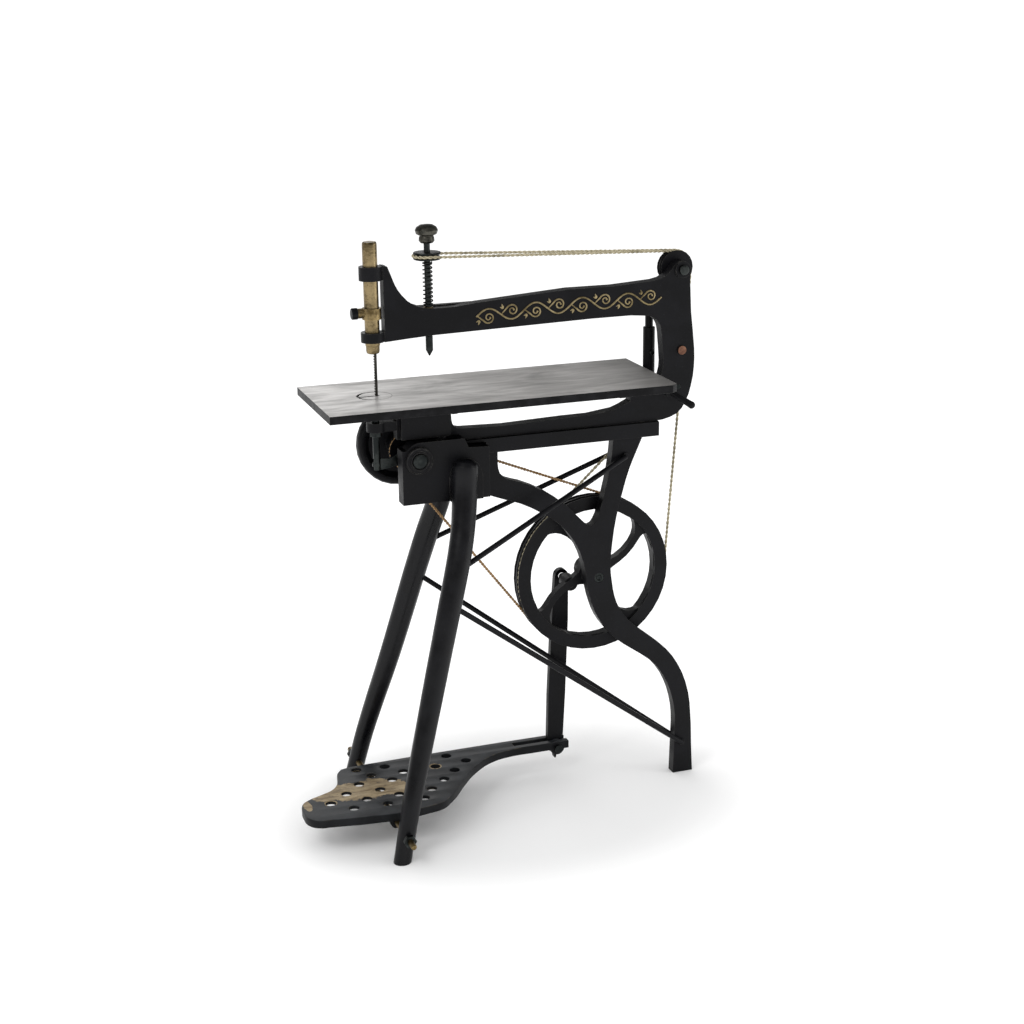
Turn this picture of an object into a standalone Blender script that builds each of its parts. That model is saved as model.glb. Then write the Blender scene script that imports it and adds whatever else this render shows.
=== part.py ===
"""Treadle-driven scroll saw with a cord-driven drill: every piece as its own solid.

Axes: +X from the front edge of the table to the rear, +Y towards the flywheel's side,
+Z up, floor at z = 0. Sizes and places are in millimetres, and the helpers turn them into
metres. Places are measured from the table's front edge; the empty "machine_centre" then
shifts the whole machine so that the origin is at the middle of its footprint.
"""

import math

import bmesh
import bpy
from mathutils import Vector

MM = 0.001
WELD = 0.00001
GAP = 0.3

# Castings built up from many joined shapes
MANIFOLD_PIECES = ("saw_frame", "stand_casting", "front_housing", "flywheel", "treadle",
                   "spindle_collar")

# Overall layout
FOOTPRINT_MIDDLE_X = 359.5
TABLE_LENGTH = 692.0
TABLE_HALF_WIDTH = 131.5
TABLE_TOP = 880.0
TABLE_THICKNESS = 16.0
BLADE_X = 120.0
DRILL_X = 231.0
PLATE_HALF = 12.0

# Axes of rotation, as (x, z)
WHEEL_AXIS = (575.0, 462.0)
FRONT_AXIS = (191.0, 757.0)
IDLER_AXIS = (751.0, 1081.0)
TREADLE_AXIS = (102.0, 52.0)
PITMAN_PIN = (513.0, 61.0)
ROCKER_PIN = (255.0, 745.0)
TILT_AXIS_Z = 878.0
TILT_SLOT_RADIUS = 38.0
TILT_STUD_Z = TILT_AXIS_Z - TILT_SLOT_RADIUS
TILT_DOWN = 25.0
TILT_UP = 8.0
LEVER_AXIS = (718.0, 842.0)
POST = (711.5, 60.0)

# Flywheel and cords
WHEEL_RADIUS = 164.0
WHEEL_RIM_INNER = 137.0
WHEEL_NEAR = 19.0
WHEEL_FAR = 48.0
GROOVE_DEPTH = 7.5
DRILL_CORD_Y = 26.5
DRIVE_CORD_Y = 40.5
CORD_RADIUS = 2.2
CORD_SEAT = 160.0
CRANK_ANGLE = math.radians(205.0)
CRANK_THROW = 50.0
PITMAN_Y = 92.0
PITMAN_HALF = 7.0
PULLEY_SEAT = 32.5
PULLEY_RADIUS = 36.0
IDLER_SEAT = 32.5
IDLER_RADIUS = 35.0
IDLER_NEAR_Y = 20.0
IDLER_FAR_Y = 30.5
DRILL_PULLEY_SEAT = 26.5
DRILL_PULLEY_RADIUS = 26.5
DRILL_CORD_Z = 1140.0
CORD_SPLIT_X = 264.0
GUIDE = (745.0, 845.0)
GUIDE_RADIUS = 8.0

# Spindles
SPINDLE_RADIUS = 14.0
THUMB_Z = 1040.0
LOWER_SPINDLE_RADIUS = 7.0
RUNNING = 0.3

# Front legs: each centre line below its domed top as x, distance from the middle plane, z
# and radius; the far leg stops below the drive cord
LEG_KNOTS = [
    (275, 66, 702, 24.5), (272, 71, 676, 24.5), (263, 86, 625, 23.5), (248, 103, 569, 23.2),
    (222, 119, 478, 22.7), (174, 144, 306, 21.2), (120, 178, 119, 18.5), (87, 197, -20, 17),
]
LEG_TOP = {-1: 752, 1: 728}
LEG_BEVEL_STEPS = 3

# Housing between the stand and the front legs
NEAR_WALL = 45.0
FAR_WALL = 33.0
DOWEL_X = 310.0
DOWELS = (("housing_dowel_upper", 740), ("housing_dowel_lower", 695))
DOWEL_RADIUS = 5.0

# Table
BLADE_HOLE = (BLADE_X, 2.0)
INSERT_PLACE = (BLADE_X + 2.0, 1.2)
INSERT_RADIUS = 31.6
INSERT_SEAT_RADIUS = 34.0
INSERT_SEAT_DEPTH = 4.0
TILT_BRACKETS = (("tilt_bracket_front", 275), ("tilt_bracket_rear", 625))
TILT_STUD_RADIUS = 5.0

# Treadle
TREADLE_TOP = 74.5
TREADLE_THICKNESS = 17.0
TREADLE_SKIN = 7.0
TREADLE_WALL = 8.0
TREADLE_HOLE_RADIUS = 10.8
TREADLE_AXLE_RADIUS = 6.0
TREADLE_AXLE_REACH = 245.0
PITMAN_PIN_RADIUS = 6.0
CRANK_PIN_RADIUS = 7.0
TREADLE_HOLES = [
    (76, 87), (135, 83), (98, 52), (165, 47), (270, 88), (234, 47), (302, 52), (266, 16),
    (133, 18), (233, -18), (64, 20), (98, -18), (170, -16), (196, -52), (29, -14),
    (128, -52), (62, -51), (95, -86), (27, -82), (170, -87), (-11, -46), (200, 84),
]

# Colours: red, green, blue, metallic, roughness
BLACK_PAINT = (0.018, 0.019, 0.023, 0.3, 0.42)
WORN_BLACK = (0.030, 0.032, 0.038, 0.4, 0.50)
PEWTER = (0.33, 0.32, 0.31, 0.9, 0.45)
BRASS = (0.60, 0.43, 0.18, 1.0, 0.35)
COPPER = (0.45, 0.22, 0.13, 0.9, 0.45)
STEEL = (0.10, 0.11, 0.11, 0.9, 0.40)
SLATE = (0.045, 0.055, 0.062, 0.2, 0.50)
DARK_CORD = (0.17, 0.12, 0.07, 0.0, 0.90)
PALE_CORD = (0.33, 0.29, 0.19, 0.0, 0.90)

for leftover in list(bpy.data.objects):
    bpy.data.objects.remove(leftover, do_unlink=True)

PARTS = bpy.data.collections.new("treadle_scroll_saw")
CUTTERS = bpy.data.collections.new("cutters")
bpy.context.scene.collection.children.link(PARTS)
bpy.context.scene.collection.children.link(CUTTERS)

CENTRE = bpy.data.objects.new("machine_centre", None)
CENTRE.location = (-FOOTPRINT_MIDDLE_X * MM, 0.0, 0.0)
PARTS.objects.link(CENTRE)


# ---------------------------------------------------------------- helpers

def pivot(name, x, y, z):
    """An empty on a joint's axis, for the pieces that turn or slide there."""
    empty = bpy.data.objects.new(name, None)
    empty.location = (x * MM, y * MM, z * MM)
    empty.parent = CENTRE
    PARTS.objects.link(empty)
    return empty


def add(name, mesh, x=0.0, y=0.0, z=0.0, turn=(0.0, 0.0, 0.0)):
    """A new mesh object of the machine, standing at x, y, z."""
    obj = bpy.data.objects.new(name, mesh)
    obj.location = (x * MM, y * MM, z * MM)
    obj.rotation_euler = turn
    obj.parent = CENTRE
    PARTS.objects.link(obj)
    return obj


def attach(joint, *objects):
    """Hang objects on a joint's empty without moving them."""
    for obj in objects:
        obj.parent = joint
        obj.location = obj.location - joint.location


def combine(target, tool, operation):
    """Join to, or cut from, the target with a Boolean; the tool becomes a hidden guide."""
    modifier = target.modifiers.new(operation.lower(), "BOOLEAN")
    modifier.operation = operation
    modifier.object = tool
    if target.name in MANIFOLD_PIECES:
        modifier.solver = "MANIFOLD"
    PARTS.objects.unlink(tool)
    CUTTERS.objects.link(tool)
    tool.hide_render = True
    tool.display_type = "WIRE"
    tool.name = target.name + "_" + operation.lower()


def join(target, *tools):
    for tool in tools:
        combine(target, tool, "UNION")


def cut(target, *tools):
    for tool in tools:
        combine(target, tool, "DIFFERENCE")


def finish(obj, look, smooth=False):
    """Give a piece its name's material and, when round, smooth shading."""
    red, green, blue, metallic, roughness = look
    material = bpy.data.materials.new(obj.name)
    material.use_nodes = True
    shader = material.node_tree.nodes["Principled BSDF"]
    shader.inputs["Base Color"].default_value = (red, green, blue, 1.0)
    shader.inputs["Metallic"].default_value = metallic
    shader.inputs["Roughness"].default_value = roughness
    obj.data.materials.append(material)
    if smooth:
        obj.data.shade_smooth()
        obj.data.set_sharp_from_angle(angle=math.radians(35.0))
    return obj


def box(name, x_range, y_range, z_range):
    mesh = bpy.data.meshes.new(name)
    shape = bmesh.new()
    bmesh.ops.create_cube(shape, size=1.0)
    size = Vector((x_range[1] - x_range[0], y_range[1] - y_range[0], z_range[1] - z_range[0]))
    for vertex in shape.verts:
        vertex.co = Vector(vertex.co[axis] * size[axis] * MM for axis in range(3))
    shape.to_mesh(mesh)
    shape.free()
    middle = [(pair[0] + pair[1]) / 2 for pair in (x_range, y_range, z_range)]
    return add(name, mesh, *middle)


def rod(name, start, end, radius, end_radius=None, sides=16):
    """A straight round bar or cone from start to end."""
    start, end = Vector(start), Vector(end)
    mesh = bpy.data.meshes.new(name)
    shape = bmesh.new()
    bmesh.ops.create_cone(
        shape, cap_ends=True, segments=sides, radius1=radius * MM,
        radius2=(radius if end_radius is None else end_radius) * MM,
        depth=(end - start).length * MM)
    shape.to_mesh(mesh)
    shape.free()
    middle = (start + end) / 2
    turn = (end - start).to_track_quat("Z", "Y").to_euler()
    return add(name, mesh, *middle, turn=turn)


AXIS_TURN = {
    "X": (0.0, math.pi / 2, 0.0),
    "Y": (-math.pi / 2, 0.0, 0.0),
    "Z": (0.0, 0.0, 0.0),
}


def turned(name, profile, place, axis="Z", steps=16, closed=False):
    """A turned piece. The profile is (radius, distance along the axis), outer side first,
    from the far end of the axis to the near end; a closed profile makes a ring."""
    mesh = bpy.data.meshes.new(name)
    shape = bmesh.new()
    points = [shape.verts.new((r * MM, 0.0, d * MM)) for r, d in profile]
    for first, second in zip(points, points[1:]):
        shape.edges.new((first, second))
    if closed:
        shape.edges.new((points[-1], points[0]))
    shape.to_mesh(mesh)
    shape.free()
    obj = add(name, mesh, *place, turn=AXIS_TURN[axis])
    screw = obj.modifiers.new("turn", "SCREW")
    screw.axis = "Z"
    screw.steps = steps
    screw.render_steps = steps
    screw.use_merge_vertices = True
    screw.merge_threshold = WELD
    screw.use_smooth_shade = True
    return obj


def ring(name, inner, outer, low, high, place, axis="Z", steps=16):
    profile = [(outer, high), (outer, low), (inner, low), (inner, high)]
    return turned(name, profile, place, axis, steps, closed=True)


def disc(name, radius, low, high, place, axis="Z", steps=16):
    return turned(name, [(0.0, high), (radius, high), (radius, low), (0.0, low)],
                  place, axis, steps)


def circle(x, y, radius, sides=14):
    return [(x + radius * math.cos(2 * math.pi * step / sides),
             y + radius * math.sin(2 * math.pi * step / sides)) for step in range(sides)]


def as_mesh(curve_object):
    """The curve object's evaluated shape as a welded mesh object in the same place."""
    bpy.context.view_layer.update()
    evaluated = curve_object.evaluated_get(bpy.context.evaluated_depsgraph_get())
    mesh = bpy.data.meshes.new_from_object(evaluated)
    shape = bmesh.new()
    shape.from_mesh(mesh)
    bmesh.ops.remove_doubles(shape, verts=shape.verts, dist=WELD)
    bmesh.ops.recalc_face_normals(shape, faces=shape.faces)
    shape.to_mesh(mesh)
    shape.free()
    name = curve_object.name
    place = curve_object.location.copy()
    turn = curve_object.rotation_euler.copy()
    bpy.data.objects.remove(curve_object, do_unlink=True)
    obj = add(name, mesh, turn=turn)
    obj.location = place
    return obj


def plate(name, loops, thickness, place, flat=False, resolution=2):
    """A flat piece of even thickness from one outline and any holes inside it.

    Outline points are (across, up) or (across, up, "c") for a sharp corner; a loop with no
    corner marks and plain pairs is taken as it is. A flat plate lies in the XY plane, any
    other stands in the XZ plane."""
    curve = bpy.data.curves.new(name, "CURVE")
    curve.dimensions = "2D"
    curve.fill_mode = "BOTH"
    curve.extrude = thickness / 2 * MM
    curve.resolution_u = resolution
    curve.render_resolution_u = resolution
    for points, smooth in loops:
        spline = curve.splines.new("BEZIER" if smooth else "POLY")
        spline.use_cyclic_u = True
        if smooth:
            spline.bezier_points.add(len(points) - 1)
            for knot, point in zip(spline.bezier_points, points):
                knot.co = (point[0] * MM, point[1] * MM, 0.0)
                handle = "VECTOR" if len(point) == 3 else "AUTO"
                knot.handle_left_type = handle
                knot.handle_right_type = handle
        else:
            spline.points.add(len(points) - 1)
            for knot, point in zip(spline.points, points):
                knot.co = (point[0] * MM, point[1] * MM, 0.0, 1.0)
    flat_object = bpy.data.objects.new(name, curve)
    flat_object.location = tuple(value * MM for value in place)
    flat_object.rotation_euler = (0.0, 0.0, 0.0) if flat else (math.pi / 2, 0.0, 0.0)
    PARTS.objects.link(flat_object)
    return as_mesh(flat_object)


def tube_path(name, points, radii, cyclic=False, sides_level=2):
    """A bar or cord of round section along straight steps between points."""
    curve = bpy.data.curves.new(name, "CURVE")
    curve.dimensions = "3D"
    curve.bevel_depth = MM
    curve.bevel_resolution = sides_level
    curve.use_fill_caps = True
    spline = curve.splines.new("POLY")
    spline.use_cyclic_u = cyclic
    spline.points.add(len(points) - 1)
    if isinstance(radii, (int, float)):
        radii = [radii] * len(points)
    for knot, point, radius in zip(spline.points, points, radii):
        knot.co = (point[0] * MM, point[1] * MM, point[2] * MM, 1.0)
        knot.radius = radius
    path_object = bpy.data.objects.new(name, curve)
    PARTS.objects.link(path_object)
    return as_mesh(path_object)


def arc(centre, radius, start, end, step):
    """Points on an arc in the XZ plane, as (x, z), from start to end in degrees."""
    count = max(1, round(abs(end - start) / step))
    angles = [math.radians(start + (end - start) * k / count) for k in range(count + 1)]
    return [(centre[0] + radius * math.cos(a), centre[1] + radius * math.sin(a))
            for a in angles]


def smooth_path(knots, steps):
    """Points on a Catmull-Rom curve through the knots."""
    points = []
    padded = [knots[0]] + list(knots) + [knots[-1]]
    for before, first, second, after in zip(padded, padded[1:], padded[2:], padded[3:]):
        for k in range(steps):
            t = k / steps
            points.append(tuple(
                0.5 * (2 * b + (c - a) * t + (2 * a - 5 * b + 4 * c - d) * t * t
                       + (3 * b - 3 * c + d - a) * t ** 3)
                for a, b, c, d in zip(before, first, second, after)))
    points.append(tuple(knots[-1]))
    return points


def bore(x, z, radius, y_range, sides=20):
    return rod("bore", (x, y_range[0], z), (x, y_range[1], z), radius, sides=sides)


# ---------------------------------------------------------------- frame and stand

def spindle_lug(name, radius, hole, z_range, x_end):
    """A ring around the saw spindle with a neck back into the casting."""
    neck = math.degrees(math.asin(11.0 / radius))
    outline = arc((BLADE_X, 0), radius, neck, 360 - neck, 20)
    outline += [(x_end, -11.0), (x_end, 11.0)]
    thickness = z_range[1] - z_range[0]
    middle = (z_range[0] + z_range[1]) / 2
    return plate(name, [(outline, False), (circle(BLADE_X, 0, hole + 0.6, 18), False)],
                 thickness, (0, 0, middle), flat=True)


def saw_frame():
    """C-shaped casting: lower arm, column, upper arm and spindle head."""
    c = "c"
    outline = [
        (141, 1128, c), (150, 1126, c), (157, 1108), (164, 1090), (176, 1071), (200, 1050),
        (236, 1041), (325, 1046), (511, 1058.5), (690, 1063), (719, 1073), (734, 1090),
        (751, 1099), (765, 1090), (768, 1060), (771, 996), (779, 921), (779, 884),
        (773, 846), (761, 813), (743, 791), (712, 781, c), (704, 780.3, c),
        (262, 780.3, c), (262, 793, c), (158, 793, c), (158, 850, c), (268, 850, c),
        (268, 822), (273, 809), (288, 803), (501, 804), (607, 811), (640, 825), (664, 835), (698, 854),
        (711, 885), (711, 913), (708.5, 943), (706, 966), (700, 981), (689, 990),
        (675, 994.6), (607, 997.5), (511, 996.5),
        (326, 992), (234, 990), (141, 984, c),
    ]
    holes = [(circle(*IDLER_AXIS, 6 + GAP, 20), False),
             (circle(*GUIDE, 5 + GAP, 14), False)]
    frame = plate("saw_frame", [(outline, True)] + holes, 2 * PLATE_HALF, (0, 0, 0))
    post_x = POST[0]
    socket = arc(POST, 20, -60, 240, 25) + [(post_x - 10, 8), (post_x + 16, 8)]
    join(
        frame,
        spindle_lug("upper_lug", 22, SPINDLE_RADIUS, (1101, 1127), 148),
        spindle_lug("lower_lug", 22, SPINDLE_RADIUS, (984.5, 1003), 148),
        spindle_lug("guide_lug", 18, LOWER_SPINDLE_RADIUS, (811, 829), 168),
        box("front_block", (164, 262), (-24, 24), (794, 842)),
        box("rear_upstand", (641, 670), (-12, 12), (820, 850)),
        disc("drill_boss", 17, 990.5, 1041, (DRILL_X, 5.5, 0)),
        box("far_pad", (207, 330), (10, 23), (991, 1043.5)),
        ring("idler_boss", 7, 16.5, -16, 14.5, (IDLER_AXIS[0], 0, IDLER_AXIS[1]), axis="Y"),
        plate("post_socket", [(socket, False), (circle(*POST, 12.5, 18), False)], 18,
              (0, 0, 844.5), flat=True),
    )
    cut(
        frame,
        disc("drill_bore", 9 + GAP, 980, 1060, (DRILL_X, 0, 0)),
        rod("front_tilt_bore", (240, 0, TILT_STUD_Z), (280, 0, TILT_STUD_Z), 5.4, sides=14),
        rod("rear_tilt_bore", (630, 0, TILT_STUD_Z), (663, 0, TILT_STUD_Z), 5.4, sides=14),
    )
    finish(frame, BLACK_PAINT, smooth=True)


def stand_casting():
    """Rail, strut and S-shaped rear leg, with a tongue that enters the front housing."""
    c = "c"
    outline = [
        (270, 779.9, c), (702, 779.9, c), (702, 751, c), (668, 749, c), (655, 720),
        (640, 685), (626, 640), (613, 590), (604, 535), (600, 482), (603, 452), (609, 418),
        (620, 390), (640, 362), (666, 338), (700, 310), (726, 286), (752, 250),
        (772, 204), (782, 156), (787, 61), (790, 0, c), (745, 0, c), (746, 39),
        (748, 91), (748, 133), (742, 171), (729, 210), (710, 243), (686, 269),
        (648, 297), (615, 322), (589, 351), (571, 378), (559, 408), (551, 438),
        (546, 470), (540, 502), (528, 533), (510, 562), (488, 587), (452, 613), (408, 637.5),
        (374, 650), (343, 662), (330, 668, c), (270, 668, c),
    ]
    window = [
        (361, 749, c), (361, 724, c), (365, 705), (382, 691), (409, 682), (461, 656),
        (509, 619), (543, 583), (556, 574), (568, 584), (577, 608), (593, 667),
        (601, 711), (605, 749, c),
    ]
    stand = plate("stand_casting", [(outline, True), (window, True)],
                  2 * PLATE_HALF - 2 * GAP, (0, 0, 0))
    join(stand, box("rail", (334, 701), (-20, 20), (750.5, 779.6)),
         box("rail_end", (291.5, 340), (-20, 0), (774.2, 779.6)))
    cut(
        stand,
        bore(*WHEEL_AXIS, 10 + GAP, (-30, 30)),
        *[bore(DOWEL_X, z, DOWEL_RADIUS + GAP, (-30, 30), 12) for _, z in DOWELS],
    )
    finish(stand, BLACK_PAINT, smooth=True)


def leg_path(side):
    top = LEG_TOP[side]
    dome = [(279, 62, top, 14), (278, 63, top - 10, 22.5)]
    points = smooth_path(dome + LEG_KNOTS, 2)
    path = [(x, side * y, z) for x, y, z, _ in points]
    return path, [radius for _, _, _, radius in points]


def front_leg(name, side):
    """A bowed round leg with a domed top; its sole is cut flat on the floor."""
    path, radii = leg_path(side)
    leg = tube_path(name, path, radii, sides_level=LEG_BEVEL_STEPS)
    reach = (150 * side, 260 * side)
    cut(
        leg,
        box("floor", (20, 200), (120, 260) if side > 0 else (-260, -120), (-60, 0)),
        bore(*TREADLE_AXIS, TREADLE_AXLE_RADIUS + GAP, (min(reach), max(reach)), 14),
    )
    finish(leg, BLACK_PAINT, smooth=True)


def leg_seat(side, low, high, play=1.2):
    """A cutter larger than the leg between two heights, so that what meets the leg keeps
    a gap to it."""
    path, radii = leg_path(side)
    x, y, top = path[0]
    path.insert(0, (x, y, top + 8))
    radii.insert(0, radii[0])
    keep = [k for k, point in enumerate(path) if low < point[2] < high]
    return tube_path("leg_seat", [path[k] for k in keep],
                     [radii[k] + play for k in keep], sides_level=LEG_BEVEL_STEPS)


def front_housing():
    """Cheek casting that joins the stand to the front legs and carries the front shaft. Its
    far wall is thin where the drive cord passes."""
    c = "c"
    near = [
        (158, 670, c), (333, 670, c), (333, 771, c), (291, 773.5, c), (283, 791.5, c),
        (190, 791.5, c), (178, 787), (168, 777, c), (158, 777, c),
    ]
    far = [(236, 670, c), (333, 670, c), (333, 766, c), (292, 766, c), (284, 775, c),
           (236, 775, c)]

    def pad(side):
        """Block that the leg's top is let into, a little wider than the leg."""
        top = LEG_TOP[side]
        inner, outer = (44.5 if side < 0 else FAR_WALL - 2), 51.4
        outline = [(251, 670, c), (251, top - 34, c), (260, top - 11), (284, top),
                   (308, top - 11), (317, top - 34, c), (317, 670, c)]
        return plate("pad", [(outline, True)], outer - inner,
                     (0, side * (inner + outer) / 2, 0))

    near_wall = plate("front_housing", [(near, True)], NEAR_WALL - PLATE_HALF,
                      (0, -(NEAR_WALL + PLATE_HALF) / 2, 0))
    lug = [(FRONT_AXIS[0] + 22, 738, c), (240, 738, c), (240, 774, c),
           (FRONT_AXIS[0] + 6, 776, c)]
    lug += [point + (c,) for point in arc(FRONT_AXIS, 20, 90, 300, 30)]
    join(
        near_wall,
        plate("far_wall", [(far, True)], FAR_WALL - PLATE_HALF,
              (0, (FAR_WALL + PLATE_HALF) / 2, 0)),
        box("web", (236, 269.4), (-25, 25), (672, 765)),
        plate("bearing_lug", [(lug, True)], 20, (0, 20, 0), resolution=1),
        pad(-1),
        pad(1),
        disc("bearing_boss", 27, -49.5, -40, (FRONT_AXIS[0], 0, FRONT_AXIS[1]), axis="Y"),
    )
    cut(
        near_wall,
        leg_seat(-1, 560, 800),
        leg_seat(1, 560, 800),
        bore(*FRONT_AXIS, 8 + RUNNING, (-60, 60)),
        box("rocker_room", (225, 268.9), (-2, 6), (700, 800)),
        box("frame_play", (150, 340), (-PLATE_HALF - 0.4, -PLATE_HALF + 1), (779, 800)),
        bore(*ROCKER_PIN, 5 + GAP, (-33.5, 19.5), 14),
        *[bore(DOWEL_X, z, DOWEL_RADIUS + GAP, (-32, 60), 12) for _, z in DOWELS],
    )
    finish(near_wall, BLACK_PAINT, smooth=True)


def brace(name, start, end):
    """A round stay from the front leg to a small foot on the casting's side."""
    side = 1 if end[1] > 0 else -1
    bar = rod(name, start, end, 5.4, sides=10)
    cut(bar, leg_seat(side, start[2] - 120, start[2] + 120))
    join(bar, rod("foot", (end[0], side * PLATE_HALF, end[2]), end, 6.5, sides=12))
    finish(bar, BLACK_PAINT, smooth=True)


def braces():
    away = PLATE_HALF + 6
    brace("upper_brace_near", (246, -104, 546), (630, -away, 714))
    brace("upper_brace_far", (246, 104, 545), (643, 30, 718))
    brace("lower_brace_near", (222, -119, 487), (763, -away, 70))
    brace("lower_brace_far", (222, 119, 478), (764, away, 67))


def fasteners():
    """Bolts and nuts that hold the stand together."""
    finish(disc("column_bolt", 9, -16.5, -PLATE_HALF - GAP, (751, 0, 920), axis="Y",
                steps=16), COPPER, smooth=True)
    for name, z in DOWELS:
        dowel = rod(name, (DOWEL_X, -31, z), (DOWEL_X, FAR_WALL - 0.5, z), DOWEL_RADIUS,
                    sides=12)
        finish(dowel, STEEL, smooth=True)
    for name, side in (("axle_nut_near", -1), ("axle_nut_far", 1)):
        hole = circle(0, 0, TREADLE_AXLE_RADIUS + GAP)
        nut = plate(name, [(circle(0, 0, 13, 6), False), (hole, False)],
                    10, (TREADLE_AXIS[0], side * 216, TREADLE_AXIS[1]))
        finish(nut, STEEL)


# ---------------------------------------------------------------- flywheel group

def groove(y, outer):
    """Profile points of one V groove, from its far lip to its near lip."""
    return [(outer, y + 4.8), (outer - GROOVE_DEPTH, y + 1.6), (outer - GROOVE_DEPTH, y - 1.6),
            (outer, y - 4.8)]


def spoke_angle(radius):
    """Angle of a spoke's centre line, in radians, for a given radius."""
    return math.radians(20.0 + 20.0 * (max(radius - 40.0, 0.0) / 97.0) ** 1.5)


def wheel_window(number):
    """Outline of the opening between one spoke and the next."""
    hub, rim = 31.0, WHEEL_RIM_INNER
    radii = [hub, 36.0, 45.0, 60.0, 80.0, 100.0, 114.0, 124.0, 131.0, 135.0, rim]

    def half_width(radius):
        root = 8.0 * math.exp(-(radius - hub) / 9.0)
        tip = 15.0 * math.exp(-(rim - radius) / 8.0)
        return (7.2 + root + tip) / radius

    quarter = math.pi / 2
    rising = [(r, quarter * number + spoke_angle(r) + half_width(r)) for r in radii]
    falling = [(r, quarter * (number + 1) + spoke_angle(r) - half_width(r))
               for r in reversed(radii)]
    start, end = rising[-1][1], falling[0][1]
    across = [(rim, start + (end - start) * k / 4) for k in range(1, 4)]
    return [(r * math.cos(a), r * math.sin(a)) for r, a in rising + across + falling]


def flywheel_group(joint):
    """Grooved rim, curved spokes and hub, and the crank pin that the pitman rides on."""
    place = (WHEEL_AXIS[0], 0, WHEEL_AXIS[1])
    web_y = (WHEEL_NEAR + WHEEL_FAR) / 2
    loops = [(circle(0, 0, WHEEL_RIM_INNER + 8, 24), False),
             (circle(0, 0, 12, 18), False)]
    loops += [(wheel_window(number), False) for number in range(4)]
    wheel = plate("flywheel", loops, 18, (place[0], web_y, place[2]))
    rim = [(WHEEL_RIM_INNER, WHEEL_FAR), (WHEEL_RADIUS, WHEEL_FAR)]
    rim += groove(DRIVE_CORD_Y, WHEEL_RADIUS) + groove(DRILL_CORD_Y, WHEEL_RADIUS)
    rim += [(WHEEL_RADIUS, WHEEL_NEAR), (WHEEL_RIM_INNER, WHEEL_NEAR)]
    join(
        wheel,
        turned("rim", rim, place, "Y", 40, closed=True),
        ring("hub", 10.6, 26, WHEEL_NEAR, 66, place, "Y", 18),
        rod("pin_boss", tuple(crank_point(30)), tuple(crank_point(62)), 15,
            sides=18),
    )
    cut(wheel, rod("pin_hole", tuple(crank_point(40)), tuple(crank_point(80)),
                   CRANK_PIN_RADIUS + GAP))
    pin_end = PITMAN_Y - PITMAN_HALF - 0.5
    pin = rod("crank_pin", tuple(crank_point(42)), tuple(crank_point(pin_end)),
              CRANK_PIN_RADIUS)
    attach(joint, wheel, pin)
    finish(wheel, BLACK_PAINT, smooth=True)
    finish(pin, STEEL, smooth=True)


def crank_point(y):
    """The crank pin's centre at depth y."""
    return Vector((WHEEL_AXIS[0] + CRANK_THROW * math.cos(CRANK_ANGLE), y,
                   WHEEL_AXIS[1] + CRANK_THROW * math.sin(CRANK_ANGLE)))


def flywheel_shaft():
    """Fixed stud in the rear leg; a collar keeps the wheel on it."""
    place = (WHEEL_AXIS[0], 0, WHEEL_AXIS[1])
    shaft = turned("flywheel_shaft", [(0, 78), (8, 78), (10, 76), (10, -11), (7, -11),
                                      (4, -8), (0, -8)], place, "Y", 18)
    finish(shaft, STEEL, smooth=True)
    collar = ring("shaft_collar", 10.6, 17, 66 + GAP, 75, place, "Y", 18)
    finish(collar, STEEL, smooth=True)


# ---------------------------------------------------------------- front shaft group

def front_shaft_group(joint):
    """Crankshaft, grooved pulley and dished balance wheel that turn together."""
    x, z = FRONT_AXIS
    place = (x, 0, z)
    crankshaft = turned(
        "front_shaft",
        [(0, 122), (6.5, 122), (8, 120.5), (8, 9.4), (22, 9.4), (22, 3.4), (0, 3.4)],
        place, "Y", 20)
    journal = turned(
        "crank_journal",
        [(0, -5.4), (22, -5.4), (22, -11.4), (8, -11.4), (8, -50), (14, -50), (14, -55),
         (9, -56.5), (0, -56.5)], place, "Y", 20)
    join(journal, rod("throw_pin", (x + 9, -9, z), (x + 9, -1.2, z), 4, sides=12))
    pulley = turned(
        "drive_pulley",
        [(PULLEY_RADIUS, DRIVE_CORD_Y + 6.5)] + groove(DRIVE_CORD_Y, PULLEY_RADIUS)
        + [(PULLEY_RADIUS, DRIVE_CORD_Y - 6.5), (14, DRIVE_CORD_Y - 6.5), (14, 31.5),
           (8 + GAP, 31.5), (8 + GAP, DRIVE_CORD_Y + 6.5)],
        place, "Y", 20, closed=True)
    wheel = turned(
        "balance_wheel",
        [(22, 116), (22, 112), (64, 112), (70, 116), (79, 116), (84, 110), (84, 96),
         (81, 91.5), (76, 90), (69, 91.5), (60, 105), (24, 105), (20, 88), (8 + GAP, 88),
         (8 + GAP, 116)],
        place, "Y", 28, closed=True)
    attach(joint, crankshaft, journal, pulley, wheel)
    for piece in (crankshaft, journal):
        finish(piece, STEEL, smooth=True)
    for piece in (pulley, wheel):
        finish(piece, BLACK_PAINT, smooth=True)


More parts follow.
